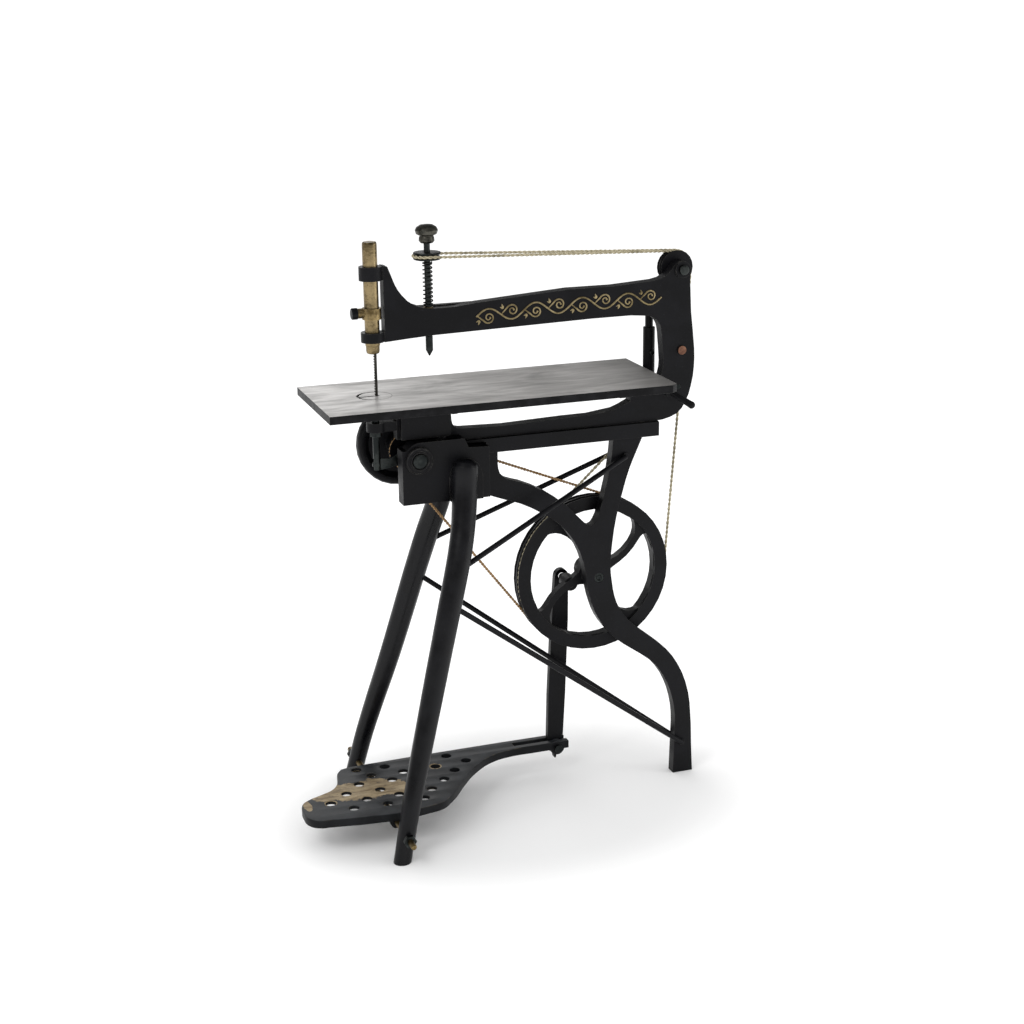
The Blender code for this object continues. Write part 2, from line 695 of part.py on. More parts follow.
def rocker_group(joint):
    """Rocker lever: its slot takes the crank throw, its front eye lifts the lower spindle."""
    c = "c"
    px, pz = ROCKER_PIN
    outline = [(px, pz - 11), (px + 11, pz), (px, pz + 11), (214, 768, c), (170, 768, c),
               (148, pz + 9, c), (BLADE_X, pz + 9), (BLADE_X - 9, pz), (BLADE_X, pz - 9),
               (148, pz - 8, c), (170, 744, c), (214, 741, c)]
    slot = [(x + dx, FRONT_AXIS[1] + dz) for x, dx, dz in
            ((205, 0, -5), (205, 4, 0), (205, 0, 5), (177, 0, 5), (177, -4, 0), (177, 0, -5))]
    eye = [(BLADE_X + dx, pz + dz) for dx, dz in
           ((6, 0), (4, 4), (0, 4.6), (-4, 4), (-6, 0), (-4, -4), (0, -4.6), (4, -4))]
    lever = plate("rocker_lever",
                  [(outline, True), (slot, False), (eye, False),
                   (circle(px, pz, 5 + RUNNING, 14), False)], 3.4, (0, 1, 0), resolution=3)
    attach(joint, lever)
    finish(lever, STEEL)
    pin = rod("rocker_pin", (px, -33, pz), (px, 19, pz), 5, sides=14)
    finish(pin, STEEL, smooth=True)


# ---------------------------------------------------------------- saw spindle group

def blade_outline(x_back, x_front, low, high, pitch=5.2, depth=2.4):
    """Flat back, and teeth along the front edge."""
    points = [(x_back, low), (x_back, high), (x_front, high)]
    count = int((high - low) // pitch)
    for tooth in range(count):
        top = high - tooth * pitch
        points.append((x_front + depth, top - pitch * 0.7))
        points.append((x_front, top - pitch * 0.95))
    points.append((x_front, low))
    return points


def saw_spindle_group(joint):
    """Upper spindle, nose, collar, blade and lower spindle: they slide as one."""
    place = (BLADE_X, 0, 0)
    r = SPINDLE_RADIUS
    spindle = turned("upper_spindle",
                     [(0, 1173), (r - 2, 1173), (r - 0.5, 1171), (r, 1168), (r, 977.3),
                      (0, 977.3)], place, steps=24)
    nose = turned("blade_nose",
                  [(0, 977), (13, 977), (13, 968), (12, 963.5), (9, 962), (0, 962)],
                  place, steps=20)
    collar = disc("spindle_collar", 18.4, 1028, 1049, place, steps=24)
    join(collar, rod("boss", (92.6, 0, THUMB_Z), (110, 0, THUMB_Z), 9.5, sides=18))
    cut(collar, disc("spindle_bore", r + GAP, 1000, 1080, place, steps=24),
        rod("screw_bore", (90, 0, THUMB_Z), (115, 0, THUMB_Z), 6 + GAP, sides=18))
    blade = plate("saw_blade", [(blade_outline(126.7, 119.7, 838.3, 961.7), False)], 1.2,
                  (0, 0, 0))
    pz = ROCKER_PIN[1]
    lower = turned("lower_spindle",
                   [(0, 838), (5, 838), (7, 835), (7, pz - 10), (0, pz - 10)], place,
                   steps=20)
    cut(lower, box("tang_slot", (100, 140), (-2, 20), (pz - 30, pz + 12)))
    join(lower, rod("crosshead_pin", (BLADE_X, -7, pz), (BLADE_X, 5, pz), 3.2, sides=12))
    attach(joint, spindle, nose, collar, blade, lower)
    packing_nut = plate("lower_spindle_nut",
                        [(circle(BLADE_X, 0, 12, 6), False),
                         (circle(BLADE_X, 0, LOWER_SPINDLE_RADIUS + 0.5, 18), False)],
                        9.4, (0, 0, 806), flat=True)
    for piece in (spindle, nose, collar):
        finish(piece, BRASS, smooth=True)
    finish(blade, STEEL)
    finish(lower, STEEL, smooth=True)
    finish(packing_nut, STEEL)


def thumb_screw(joint):
    """Clamp screw in the front of the collar, turned by its round head."""
    screw = turned("thumb_screw",
                   [(0, 105.3), (6, 105.3), (6, 92), (11, 92), (11, 82), (9.5, 80.5),
                    (0, 80.5)], (0, 0, THUMB_Z), "X", 18)
    attach(joint, screw)
    finish(screw, WORN_BLACK, smooth=True)


# ---------------------------------------------------------------- table group

def table_group(joint):
    """Flat table with its throat insert and two brackets, whose curved slots ride on fixed
    studs, so that the table tilts about a line just under its top."""
    c = "c"
    edge = TABLE_HALF_WIDTH
    outline = [(0, -edge, c), (TABLE_LENGTH - 12, -edge, c), (TABLE_LENGTH, -edge + 10, c),
               (TABLE_LENGTH, edge, c), (0, edge, c)]
    top = plate("table", [(outline, True), (circle(*BLADE_HOLE, 28, 20), False)],
                TABLE_THICKNESS, (0, 0, TABLE_TOP - TABLE_THICKNESS / 2), flat=True,
                resolution=1)
    seat = TABLE_TOP - INSERT_SEAT_DEPTH
    cut(top, disc("insert_seat", INSERT_SEAT_RADIUS, seat, TABLE_TOP + 6, (*BLADE_HOLE, 0),
                  steps=30))
    insert = turned("throat_insert",
                    [(0, TABLE_TOP - 0.2), (INSERT_RADIUS, TABLE_TOP - 0.2),
                     (INSERT_RADIUS, seat + GAP), (0, seat + GAP)],
                    (*INSERT_PLACE, 0), steps=30)
    cut(insert, box("blade_slit", (60, 130), (-2.5, 2.5), (TABLE_TOP - 10, TABLE_TOP + 10)))
    under = TABLE_TOP - TABLE_THICKNESS - GAP
    pieces = [top, insert]
    finish(top, PEWTER)
    finish(insert, PEWTER, smooth=True)
    slot = stadium_arc(-90 - TILT_DOWN, -90 + TILT_UP, TILT_STUD_RADIUS + 0.5)
    edge_arc = arc((0, TILT_AXIS_Z), TILT_SLOT_RADIUS + 9, -131, -68, 10)
    shape = [(-36, under)] + edge_arc + [(24, under)]
    for name, x in TILT_BRACKETS:
        bracket = plate(name, [(shape, False), (slot, False)], 8, (0, 0, 0))
        bracket.rotation_euler = (math.pi / 2, 0.0, math.pi / 2)
        bracket.location = (x * MM, 0.0, 0.0)
        finish(bracket, WORN_BLACK)
        pieces.append(bracket)
    attach(joint, *pieces)


def stadium_arc(start, end, half_width):
    """A round-ended slot along the tilt arc, as (y, z), from start to end in degrees."""
    centre = (0, TILT_AXIS_Z)
    outer = arc(centre, TILT_SLOT_RADIUS + half_width, start, end, 8)
    inner = arc(centre, TILT_SLOT_RADIUS - half_width, end, start, 8)
    caps = []
    for angle, turn in ((end, 0), (start, 180)):
        middle = arc(centre, TILT_SLOT_RADIUS, angle, angle, 1)[0]
        caps.append(arc(middle, half_width, angle + turn + 36, angle + turn + 144, 36))
    return outer + caps[0] + inner + caps[1]


def tilt_pins():
    """Studs with round heads in the frame, one in each bracket's slot."""
    for name, x_head, x_end in (("tilt_pin_front", 287, 244), ("tilt_pin_rear", 614, 660)):
        step = 1 if x_end > x_head else -1
        pin = rod(name, (x_head, 0, TILT_STUD_Z), (x_end, 0, TILT_STUD_Z), TILT_STUD_RADIUS,
                  sides=14)
        join(pin, rod("head", (x_head - 5 * step, 0, TILT_STUD_Z),
                      (x_head + step, 0, TILT_STUD_Z), 9, sides=14))
        finish(pin, STEEL, smooth=True)


def clamp_lever(joint):
    """Lever that locks the table, a round bar with a ball end on a cross boss."""
    x, z = LEVER_AXIS
    tip = (x + 34, -61, z - 24)
    boss = disc("clamp_lever", 10, -34, -PLATE_HALF - GAP, (x, 0, z), "Y", 18)
    ball_mesh = bpy.data.meshes.new("ball")
    shape = bmesh.new()
    bmesh.ops.create_uvsphere(shape, u_segments=12, v_segments=8, radius=7.6 * MM)
    shape.to_mesh(ball_mesh)
    shape.free()
    join(boss, rod("bar", (x, -28, z), tip, 5.6, 7.2, sides=12), add("ball", ball_mesh, *tip))
    attach(joint, boss)
    finish(boss, WORN_BLACK, smooth=True)


# ---------------------------------------------------------------- drill group

def drill_group(feed_joint, spin_joint):
    """Drill: knob, sprung spindle, grooved pulley and bit on one vertical axis."""
    place = (DRILL_X, 0, 0)
    knob = turned("drill_knob",
                  [(0, 1199), (12, 1198), (19, 1194), (22, 1188), (20, 1181), (13, 1177.5),
                   (14.5, 1174), (15, 1168), (12, 1164), (0, 1164)], place, steps=18)
    spindle = turned("drill_spindle",
                     [(0, 1163.7), (6, 1163.7), (6, 987.3), (0, 987.3)], place, steps=16)
    outer = DRILL_PULLEY_RADIUS
    seat = DRILL_PULLEY_SEAT - CORD_RADIUS - 0.6
    z = DRILL_CORD_Z
    pulley = turned("drill_pulley",
                    [(outer - 1, z + 7), (outer, z + 5.5), (outer, z + 4), (seat, z + 2),
                     (seat, z - 2), (outer, z - 4), (outer, z - 5.5), (outer - 1, z - 7),
                     (9, z - 7), (9, z - 10), (6 + GAP, z - 10), (6 + GAP, z + 7)],
                    place, steps=16, closed=True)
    bit = turned("drill_bit",
                 [(0, 987), (7, 987), (7, 960), (1.0, 949), (0, 949)], place, steps=16)
    loop = [(CORD_SPLIT_X - 1.0, -DRILL_PULLEY_SEAT, z)]
    loop += [(DRILL_X + DRILL_PULLEY_SEAT * math.sin(a), -DRILL_PULLEY_SEAT * math.cos(a), z)
             for a in (math.radians(-15.0 * k) for k in range(13))]
    loop.append((CORD_SPLIT_X - 1.0, DRILL_PULLEY_SEAT, z))
    strand = tube_path("drill_cord_loop", loop, CORD_RADIUS, sides_level=0)
    attach(feed_joint, knob, strand)
    attach(spin_joint, spindle, pulley, bit)
    finish(knob, STEEL, smooth=True)
    finish(strand, PALE_CORD, smooth=True)
    for piece in (spindle, pulley, bit):
        finish(piece, STEEL, smooth=True)
    bush = ring("drill_bush", 6 + GAP, 9, 989.5, 1043, place, steps=20)
    finish(bush, BRASS, smooth=True)


def drill_spring():
    """Return spring around the spindle, between the arm and the pulley."""
    turns, per_turn, low, high = 10, 8, 1045.5, 1127.5
    wire, coil = 1.3, 8.5
    count = turns * per_turn
    points = []
    for k in range(count + 1):
        angle = 2 * math.pi * k / per_turn
        points.append((DRILL_X + coil * math.cos(angle), coil * math.sin(angle),
                       low + (high - low) * k / count))
    spring = tube_path("drill_spring", points, wire, sides_level=0)
    finish(spring, STEEL, smooth=True)


def idlers(near_joint, far_joint):
    """Two guide pulleys side by side on one axle at the rear top of the frame."""
    x, z = IDLER_AXIS
    for name, y, joint in (("idler_near", IDLER_NEAR_Y, near_joint),
                           ("idler_far", IDLER_FAR_Y, far_joint)):
        inner = IDLER_SEAT - CORD_RADIUS - 1.2
        profile = [(IDLER_RADIUS - 1, y + 4.9), (IDLER_RADIUS, y + 4.4), (inner, y + 2.3),
                   (inner, y - 2.3), (IDLER_RADIUS, y - 4.4), (IDLER_RADIUS - 1, y - 4.9),
                   (6 + RUNNING, y - 4.9), (6 + RUNNING, y + 4.9)]
        pulley = turned(name, profile, (x, 0, z), "Y", 20, closed=True)
        attach(joint, pulley)
        finish(pulley, BLACK_PAINT, smooth=True)
    axle = turned("idler_axle",
                  [(0, 42), (11, 42), (11, 36), (6, 36), (6, -16.5), (10, -16.5),
                   (10, -22), (7, -24), (0, -24)], (x, 0, z), "Y", 14)
    finish(axle, STEEL, smooth=True)


def cord_guide():
    """Grooved stud behind the column that turns one strand of the drill cord."""
    x, z = GUIDE
    y = DRILL_CORD_Y
    root = GUIDE_RADIUS - CORD_RADIUS - 1.0
    guide = turned("cord_guide",
                   [(0, y + 6), (10, y + 6), (10, y + 4), (root, y + 1.8), (root, y - 1.8),
                    (10, y - 3.6), (10, y - 5), (7, y - 5), (7, PLATE_HALF + GAP),
                    (5, PLATE_HALF + GAP), (5, -PLATE_HALF), (0, -PLATE_HALF)],
                   (x, 0, z), "Y", 16)
    finish(guide, STEEL, smooth=True)


# ---------------------------------------------------------------- cords

def drive_cord():
    """Endless cord from the flywheel's far groove to the front pulley."""
    dx = WHEEL_AXIS[0] - FRONT_AXIS[0]
    dz = WHEEL_AXIS[1] - FRONT_AXIS[1]
    slope = math.degrees(math.atan2(dz, dx))
    spread = math.degrees(math.asin((CORD_SEAT - PULLEY_SEAT) / math.hypot(dx, dz)))
    on_wheel = arc(WHEEL_AXIS, CORD_SEAT, slope + 90 + spread, slope - 90 - spread, 9)
    on_pulley = arc(FRONT_AXIS, PULLEY_SEAT, slope - 90 - spread, slope - 270 + spread, 15)
    points = [(x, DRIVE_CORD_Y, z) for x, z in on_wheel + on_pulley]
    cord = tube_path("drive_cord", points, CORD_RADIUS, cyclic=True, sides_level=0)
    finish(cord, DARK_CORD, smooth=True)


def tangent_angle(first, first_radius, second, second_radius):
    """Direction, in degrees, from both centres to the points where a straight cord from the
    first wheel to the second touches them on its right-hand side."""
    dx, dz = second[0] - first[0], second[1] - first[1]
    lean = math.asin((first_radius - second_radius) / math.hypot(dx, dz))
    return math.degrees(math.atan2(dz, dx) + lean) - 90


def drill_cord():
    """Long cord: drill side, over one idler, round the flywheel, back over the other."""
    rise = DRILL_CORD_Z - IDLER_AXIS[1] - IDLER_SEAT
    top = 90 - math.degrees(math.atan2(rise, IDLER_AXIS[0] - CORD_SPLIT_X))
    down = tangent_angle(GUIDE, GUIDE_RADIUS, IDLER_AXIS, IDLER_SEAT)
    leave = tangent_angle(WHEEL_AXIS, -CORD_SEAT, GUIDE, GUIDE_RADIUS) + 180
    rear = tangent_angle(WHEEL_AXIS, CORD_SEAT, IDLER_AXIS, IDLER_SEAT)
    stretches = [
        (IDLER_FAR_Y, arc(IDLER_AXIS, IDLER_SEAT, top, down, 22)),
        (DRILL_CORD_Y, arc(GUIDE, GUIDE_RADIUS, down, leave - 180, 18)),
        (DRILL_CORD_Y, arc(WHEEL_AXIS, CORD_SEAT, leave, 360 + rear, 9)),
        (IDLER_NEAR_Y, arc(IDLER_AXIS, IDLER_SEAT, rear, top, 22)),
    ]
    points = [(CORD_SPLIT_X, DRILL_PULLEY_SEAT, DRILL_CORD_Z)]
    points += [(x, y, z) for y, stretch in stretches for x, z in stretch]
    points.append((CORD_SPLIT_X, -DRILL_PULLEY_SEAT, DRILL_CORD_Z))
    cord = tube_path("drill_cord", points, CORD_RADIUS, sides_level=0)
    finish(cord, PALE_CORD, smooth=True)


# ---------------------------------------------------------------- treadle group

def treadle_outline():
    """Seen from above: a lobed foot plate that narrows to a forked rear arm."""
    c = "c"
    return [
        (-71, -66), (-66, -98), (-50, -113), (-28, -117, c), (30, -127, c), (111, -136, c),
        (170, -126), (200, -118), (222, -98), (240, -77), (269, -36), (313, 18),
        (364, 57), (408, 69), (460, 70, c), (538, 70, c), (538, 112, c), (400, 113, c),
        (199, 111, c), (66, 107, c), (46, 101, c), (34, 82), (26, 46), (8, 15),
        (-21, -2), (-46, -14), (-64, -30),
    ]


def inset(outline, distance):
    """The outline's knots moved inwards, as sharp corners."""
    moved = []
    for before, knot, after in zip(outline[-1:] + outline, outline, outline[1:] + outline[:1]):
        along = Vector((after[0] - before[0], after[1] - before[1])).normalized()
        moved.append((knot[0] - along.y * distance, knot[1] + along.x * distance, "c"))
    return moved


def treadle_group(joint, pitman_joint):
    """Hollow-backed foot plate with its axle lugs, and the pitman on its rear pin."""
    mid = TREADLE_TOP - TREADLE_THICKNESS / 2
    foot = plate("treadle", [(treadle_outline(), True)], TREADLE_THICKNESS, (0, 0, mid),
                 flat=True, resolution=2)
    hollow = [point for point in inset(treadle_outline(), TREADLE_WALL) if point[0] < 290]
    holes = [rod("hole", (hole_x, hole_y, 50), (hole_x, hole_y, 90), TREADLE_HOLE_RADIUS,
                 sides=12) for hole_x, hole_y in TREADLE_HOLES]
    cut(foot, plate("hollow", [(hollow, True)], 20,
                    (0, 0, TREADLE_TOP - TREADLE_SKIN - 10), flat=True, resolution=2), *holes)
    x, z = TREADLE_AXIS
    px, pz = PITMAN_PIN
    root = TREADLE_TOP - TREADLE_SKIN / 2
    lug = [(x - 14, root, "c"), (x - 12, z - 6, "c"), (x - 6, z - 13, "c"),
           (x + 6, z - 13, "c"), (x + 12, z - 6, "c"), (x + 14, root, "c")]
    join(
        foot,
        plate("near_lug", [(lug, True)], 12, (0, -121, 0), resolution=1),
        plate("far_lug", [(lug, True)], 12, (0, 99, 0), resolution=1),
        rod("fork_boss", (px, 70.5, pz), (px, 111.5, pz), 16, sides=20),
    )
    slot_half = PITMAN_HALF + 0.5
    cut(
        foot,
        box("fork", (420, 560), (PITMAN_Y - slot_half, PITMAN_Y + slot_half), (20, 100)),
        bore(x, z, TREADLE_AXLE_RADIUS + RUNNING, (-150, 130), 14),
        bore(px, pz, PITMAN_PIN_RADIUS + GAP, (60, 125), 14),
    )
    pin = rod("pitman_pin", (px, 65, pz), (px, 117, pz), PITMAN_PIN_RADIUS, sides=14)
    join(pin, rod("head", (px, 61, pz), (px, 66, pz), 9, sides=14))
    attach(joint, foot, pin)
    finish(foot, SLATE, smooth=True)
    finish(pin, STEEL, smooth=True)
    top = crank_point(PITMAN_Y)
    half, heel = 15.0, 17.0
    outline = [(top.x - half, top.z), (top.x - half * 0.7, top.z + half * 0.7),
               (top.x, top.z + half), (top.x + half * 0.7, top.z + half * 0.7),
               (top.x + half, top.z), (px + heel, pz + 8), (px + heel * 0.8, pz - half * 0.7),
               (px + 4, pz - half, "c"), (px + 1.5, pz - half - 14, "c"),
               (px - 1.5, pz - half - 14, "c"), (px - 4, pz - half, "c"),
               (px - heel * 0.8, pz - half * 0.7), (px - heel, pz + 8)]
    holes = [circle(px, pz, PITMAN_PIN_RADIUS + RUNNING, 16),
             circle(top.x, top.z, CRANK_PIN_RADIUS + RUNNING, 16)]
    bar = plate("pitman", [(outline, True), (holes[0], False), (holes[1], False)],
                2 * PITMAN_HALF, (0, PITMAN_Y, 0), resolution=3)
    attach(pitman_joint, bar)
    finish(bar, BLACK_PAINT)
    reach, r = TREADLE_AXLE_REACH, TREADLE_AXLE_RADIUS
    axle = turned("treadle_axle",
                  [(0, reach), (r - 1.5, reach), (r, reach - 3), (r, 3 - reach),
                   (r - 1.5, -reach), (0, -reach)], (x, 0, z), "Y", 14)
    finish(axle, STEEL, smooth=True)


# ---------------------------------------------------------------- post

def post(joint):
    """Telescopic post behind the column: fixed tube, sliding rod, set screw."""
    place = (*POST, 0)
    finish(ring("post_tube", 8.5, 12, 830, 957, place, steps=18), WORN_BLACK,
           smooth=True)
    slider = turned("post_rod", [(0, 1034), (6, 1034), (8, 1032), (8, 835), (0, 835)], place,
                    steps=18)
    attach(joint, slider)
    finish(slider, WORN_BLACK, smooth=True)
    finish(rod("post_screw", (POST[0], 47.7, 907), (POST[0], 40, 907), 4.5, sides=12), STEEL,
           smooth=True)


# ---------------------------------------------------------------- build

flywheel_axis = pivot("flywheel_axis", WHEEL_AXIS[0], 40, WHEEL_AXIS[1])
front_axis = pivot("front_axis", FRONT_AXIS[0], 0, FRONT_AXIS[1])
rocker_axis = pivot("rocker_axis", ROCKER_PIN[0], 0, ROCKER_PIN[1])
spindle_axis = pivot("spindle_axis", BLADE_X, 0, 1000)
thumb_axis = pivot("thumb_axis", 90, 0, THUMB_Z)
table_axis = pivot("table_axis", 443, 0, TILT_AXIS_Z)
lever_axis = pivot("lever_axis", LEVER_AXIS[0], -20, LEVER_AXIS[1])
drill_feed_axis = pivot("drill_feed_axis", DRILL_X, 0, 1140)
drill_spin_axis = pivot("drill_spin_axis", DRILL_X, 0, 1000)
idler_near_axis = pivot("idler_near_axis", IDLER_AXIS[0], IDLER_NEAR_Y, IDLER_AXIS[1])
idler_far_axis = pivot("idler_far_axis", IDLER_AXIS[0], IDLER_FAR_Y, IDLER_AXIS[1])
treadle_axis = pivot("treadle_axis", TREADLE_AXIS[0], 0, TREADLE_AXIS[1])
pitman_axis = pivot("pitman_axis", PITMAN_PIN[0], PITMAN_Y, PITMAN_PIN[1])
post_axis = pivot("post_axis", *POST, 907)

saw_frame()
stand_casting()
front_leg("front_leg_near", -1)
front_leg("front_leg_far", 1)
front_housing()
braces()
fasteners()
flywheel_group(flywheel_axis)
flywheel_shaft()
front_shaft_group(front_axis)
rocker_group(rocker_axis)
saw_spindle_group(spindle_axis)
thumb_screw(thumb_axis)
table_group(table_axis)
tilt_pins()
clamp_lever(lever_axis)
drill_group(drill_feed_axis, drill_spin_axis)
drill_spring()
idlers(idler_near_axis, idler_far_axis)
cord_guide()
drive_cord()
drill_cord()
treadle_group(treadle_axis, pitman_axis)
post(post_axis)
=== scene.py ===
import math
import random

import bmesh
import bpy
import numpy as np
from mathutils import Matrix, Vector


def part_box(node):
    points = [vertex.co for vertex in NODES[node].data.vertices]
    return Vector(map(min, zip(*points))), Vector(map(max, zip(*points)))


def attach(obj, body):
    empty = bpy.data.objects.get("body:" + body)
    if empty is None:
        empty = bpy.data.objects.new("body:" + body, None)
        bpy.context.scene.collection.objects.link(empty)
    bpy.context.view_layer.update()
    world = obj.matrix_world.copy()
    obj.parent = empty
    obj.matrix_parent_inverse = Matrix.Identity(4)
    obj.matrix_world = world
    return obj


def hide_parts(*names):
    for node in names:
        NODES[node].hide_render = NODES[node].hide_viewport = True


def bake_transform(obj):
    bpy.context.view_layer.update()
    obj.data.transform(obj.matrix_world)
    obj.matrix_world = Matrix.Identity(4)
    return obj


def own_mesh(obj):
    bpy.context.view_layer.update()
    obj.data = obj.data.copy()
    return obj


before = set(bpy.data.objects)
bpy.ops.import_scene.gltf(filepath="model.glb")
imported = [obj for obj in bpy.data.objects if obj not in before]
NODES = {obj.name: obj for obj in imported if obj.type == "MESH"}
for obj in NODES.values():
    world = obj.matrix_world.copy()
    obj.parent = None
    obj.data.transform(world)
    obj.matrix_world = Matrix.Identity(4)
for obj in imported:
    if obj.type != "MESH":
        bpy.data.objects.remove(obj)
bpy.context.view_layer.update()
MM = 0.001

# ---------------------------------------------------------------- places, from the CAD

X, Y, Z = 0, 1, 2


def middle(node, axis):
    """The middle of a CAD node's box along an axis."""
    low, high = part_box(node)
    return (low[axis] + high[axis]) / 2


def extent(node, axis):
    """The size of a CAD node's box along an axis."""
    low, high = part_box(node)
    return high[axis] - low[axis]


# Centres of the turning parts, as (x, z)
WHEEL = (middle("flywheel", X), middle("flywheel", Z))
FRONT = (middle("drive_pulley", X), middle("drive_pulley", Z))
IDLER = (middle("idler_near", X), middle("idler_near", Z))
GUIDE = (middle("cord_guide", X), middle("cord_guide", Z))
FORK_PIN = (middle("pitman_pin", X), middle("pitman_pin", Z))
TREADLE_AXLE = (middle("treadle_axle", X), middle("treadle_axle", Z))
DRILL_X = middle("drill_pulley", X)

# Planes that the cords run in
IDLER_NEAR_Y = middle("idler_near", Y)
IDLER_FAR_Y = middle("idler_far", Y)
DRIVE_CORD_Y = middle("drive_cord", Y)
DRILL_CORD_Y = 26.5 * MM
DRILL_CORD_Z = middle("drill_cord_loop", Z)

# Radii of the cords' centre lines on their wheels
CAD_CORD_RADIUS = 2.2 * MM
WHEEL_GROOVE = 4 * MM
DRILL_SEAT = extent("drill_cord_loop", Y) / 2 - CAD_CORD_RADIUS
CORD_SEAT = extent("flywheel", Z) / 2 - WHEEL_GROOVE
PULLEY_SEAT = 32.5 * MM
IDLER_SEAT = 32.5 * MM
GUIDE_SEAT = 8 * MM

# Near face of the arm
ARM_FACE = -12 * MM
FRONT_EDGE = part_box("table")[0].x


def from_front(x):
    """Row-frame x of a distance in millimetres behind the table's front edge."""
    return FRONT_EDGE + x * MM


# ---------------------------------------------------------------- material nodes

class Look:
    """One procedural material, with short calls for its nodes."""

    def __init__(self, name):
        self.material = bpy.data.materials.new(name)
        self.material.use_nodes = True
        self.nodes = self.material.node_tree.nodes
        self.links = self.material.node_tree.links
        self.shader = self.nodes["Principled BSDF"]
        self.place = self.nodes.new("ShaderNodeTexCoord").outputs["Object"]

    def put(self, socket, value):
        """Gives an input socket a number or a link."""
        if isinstance(value, bpy.types.NodeSocket):
            self.links.new(value, socket)
        else:
            socket.default_value = value

    def node(self, kind, *values, **settings):
        """A new shader node with its settings and first inputs."""
        made = self.nodes.new("ShaderNode" + kind)
        for key, setting in settings.items():
            setattr(made, key, setting)
        for socket, value in zip(made.inputs, values):
            self.put(socket, value)
        return made

    def maths(self, operation, *values):
        """The result of one Math node."""
        return self.node("Math", *values, operation=operation, use_clamp=False).outputs[0]

    def vector(self, operation, *values):
        """The result of one Vector Math node."""
        made = self.node("VectorMath", *values, operation=operation)
        return made.outputs["Value" if operation in ("LENGTH", "DOT_PRODUCT") else "Vector"]

    def noise(self, scale, detail=4.0, rough=0.55, stretch=None, warp=0.0):
        """Noise over the object's own coordinates, in metres."""
        made = self.nodes.new("ShaderNodeTexNoise")
        place = self.place if stretch is None else self.vector("MULTIPLY", self.place, stretch)
        self.put(made.inputs["Vector"], place)
        self.put(made.inputs["Scale"], scale)
        self.put(made.inputs["Detail"], detail)
        self.put(made.inputs["Roughness"], rough)
        self.put(made.inputs["Distortion"], warp)
        return made.outputs[0]

    def step(self, value, low, high, first=0.0, last=1.0):
        """A smooth change from first to last as the value goes from low to high."""
        made = self.nodes.new("ShaderNodeMapRange")
        made.interpolation_type = "SMOOTHSTEP"
        for socket, number in zip(made.inputs, (value, low, high, first, last)):
            self.put(socket, number)
        return made.outputs[0]

    def mix(self, share, first, second):
        """Two colours blended by a share."""
        made = self.nodes.new("ShaderNodeMix")
        made.data_type = "RGBA"
        for index, value in ((0, share), (6, first), (7, second)):
            if isinstance(value, tuple):
                value = (*value, 1.0)
            self.put(made.inputs[index], value)
        return made.outputs[2]

    def edges(self, radius):
        """How strongly each point lies on an edge of about this radius, 0 to 1."""
        rounded = self.node("Bevel", radius, samples=6).outputs[0]
        flat = self.nodes.new("ShaderNodeNewGeometry").outputs["Normal"]
        return self.step(self.vector("DOT_PRODUCT", rounded, flat), 0.995, 0.80)

    def facing(self, axis):
        """The surface normal's share along an axis, in the row frame."""
        normal = self.nodes.new("ShaderNodeNewGeometry").outputs["Normal"]
        return self.vector("DOT_PRODUCT", normal, axis)

    def bump(self, height, strength, distance):
        """Shades the surface as if it had this relief."""
        made = self.nodes.new("ShaderNodeBump")
        made.inputs["Strength"].default_value = strength
        made.inputs["Distance"].default_value = distance
        self.put(made.inputs["Height"], height)
        self.put(self.shader.inputs["Normal"], made.outputs[0])

    def done(self, colour, rough, metal=0.0, specular=0.5):
        """The finished material."""
        self.put(self.shader.inputs["Base Color"], colour)
        self.put(self.shader.inputs["Roughness"], rough)
        self.put(self.shader.inputs["Metallic"], metal)
        self.put(self.shader.inputs["Specular IOR Level"], specular)
        return self.material


def paint(name, dark, light, worn, wear=0.5, rough=0.42, shine=0.15):
    """Brushed-on machine enamel over a casting: uneven gloss, pits, rubbed edges and a painted
    highlight line along every edge.
    """
    look = Look(name)
    clouds = look.noise(16.0, 5.0)
    colour = look.mix(look.step(clouds, 0.36, 0.66), dark, light)
    grit = look.noise(240.0, 5.0, 0.65)
    dust = look.maths("MULTIPLY", look.step(grit, 0.60, 0.72), 0.4)
    colour = look.mix(dust, colour, tuple(4.0 * v for v in light))
    # Painted highlight: a thin line in a dim tone of the worn colour along every edge
    painted_edge_highlight = look.maths("MULTIPLY", look.edges(0.0012), 0.55)
    colour = look.mix(painted_edge_highlight, colour, tuple(0.45 * v for v in worn))
    rubbed = look.maths("MULTIPLY", look.edges(0.0020),
                        look.step(look.noise(70.0, 6.0, 0.7), 0.62 - 0.25 * wear, 0.74))
    chips = look.step(look.noise(120.0, 7.0, 0.75, warp=0.6), 0.735, 0.77)
    bare = look.maths("MAXIMUM", rubbed, look.maths("MULTIPLY", chips, 0.7 * wear))
    colour = look.mix(bare, colour, worn)
    gloss = look.step(clouds, 0.3, 0.7, rough - 0.08, rough + 0.12)
    look.bump(look.maths("ADD", look.noise(55.0, 3.0), look.maths("MULTIPLY", grit, 0.45)),
              0.35, 0.0007)
    return look.done(colour, gloss, look.maths("MULTIPLY", bare, 0.5), shine)


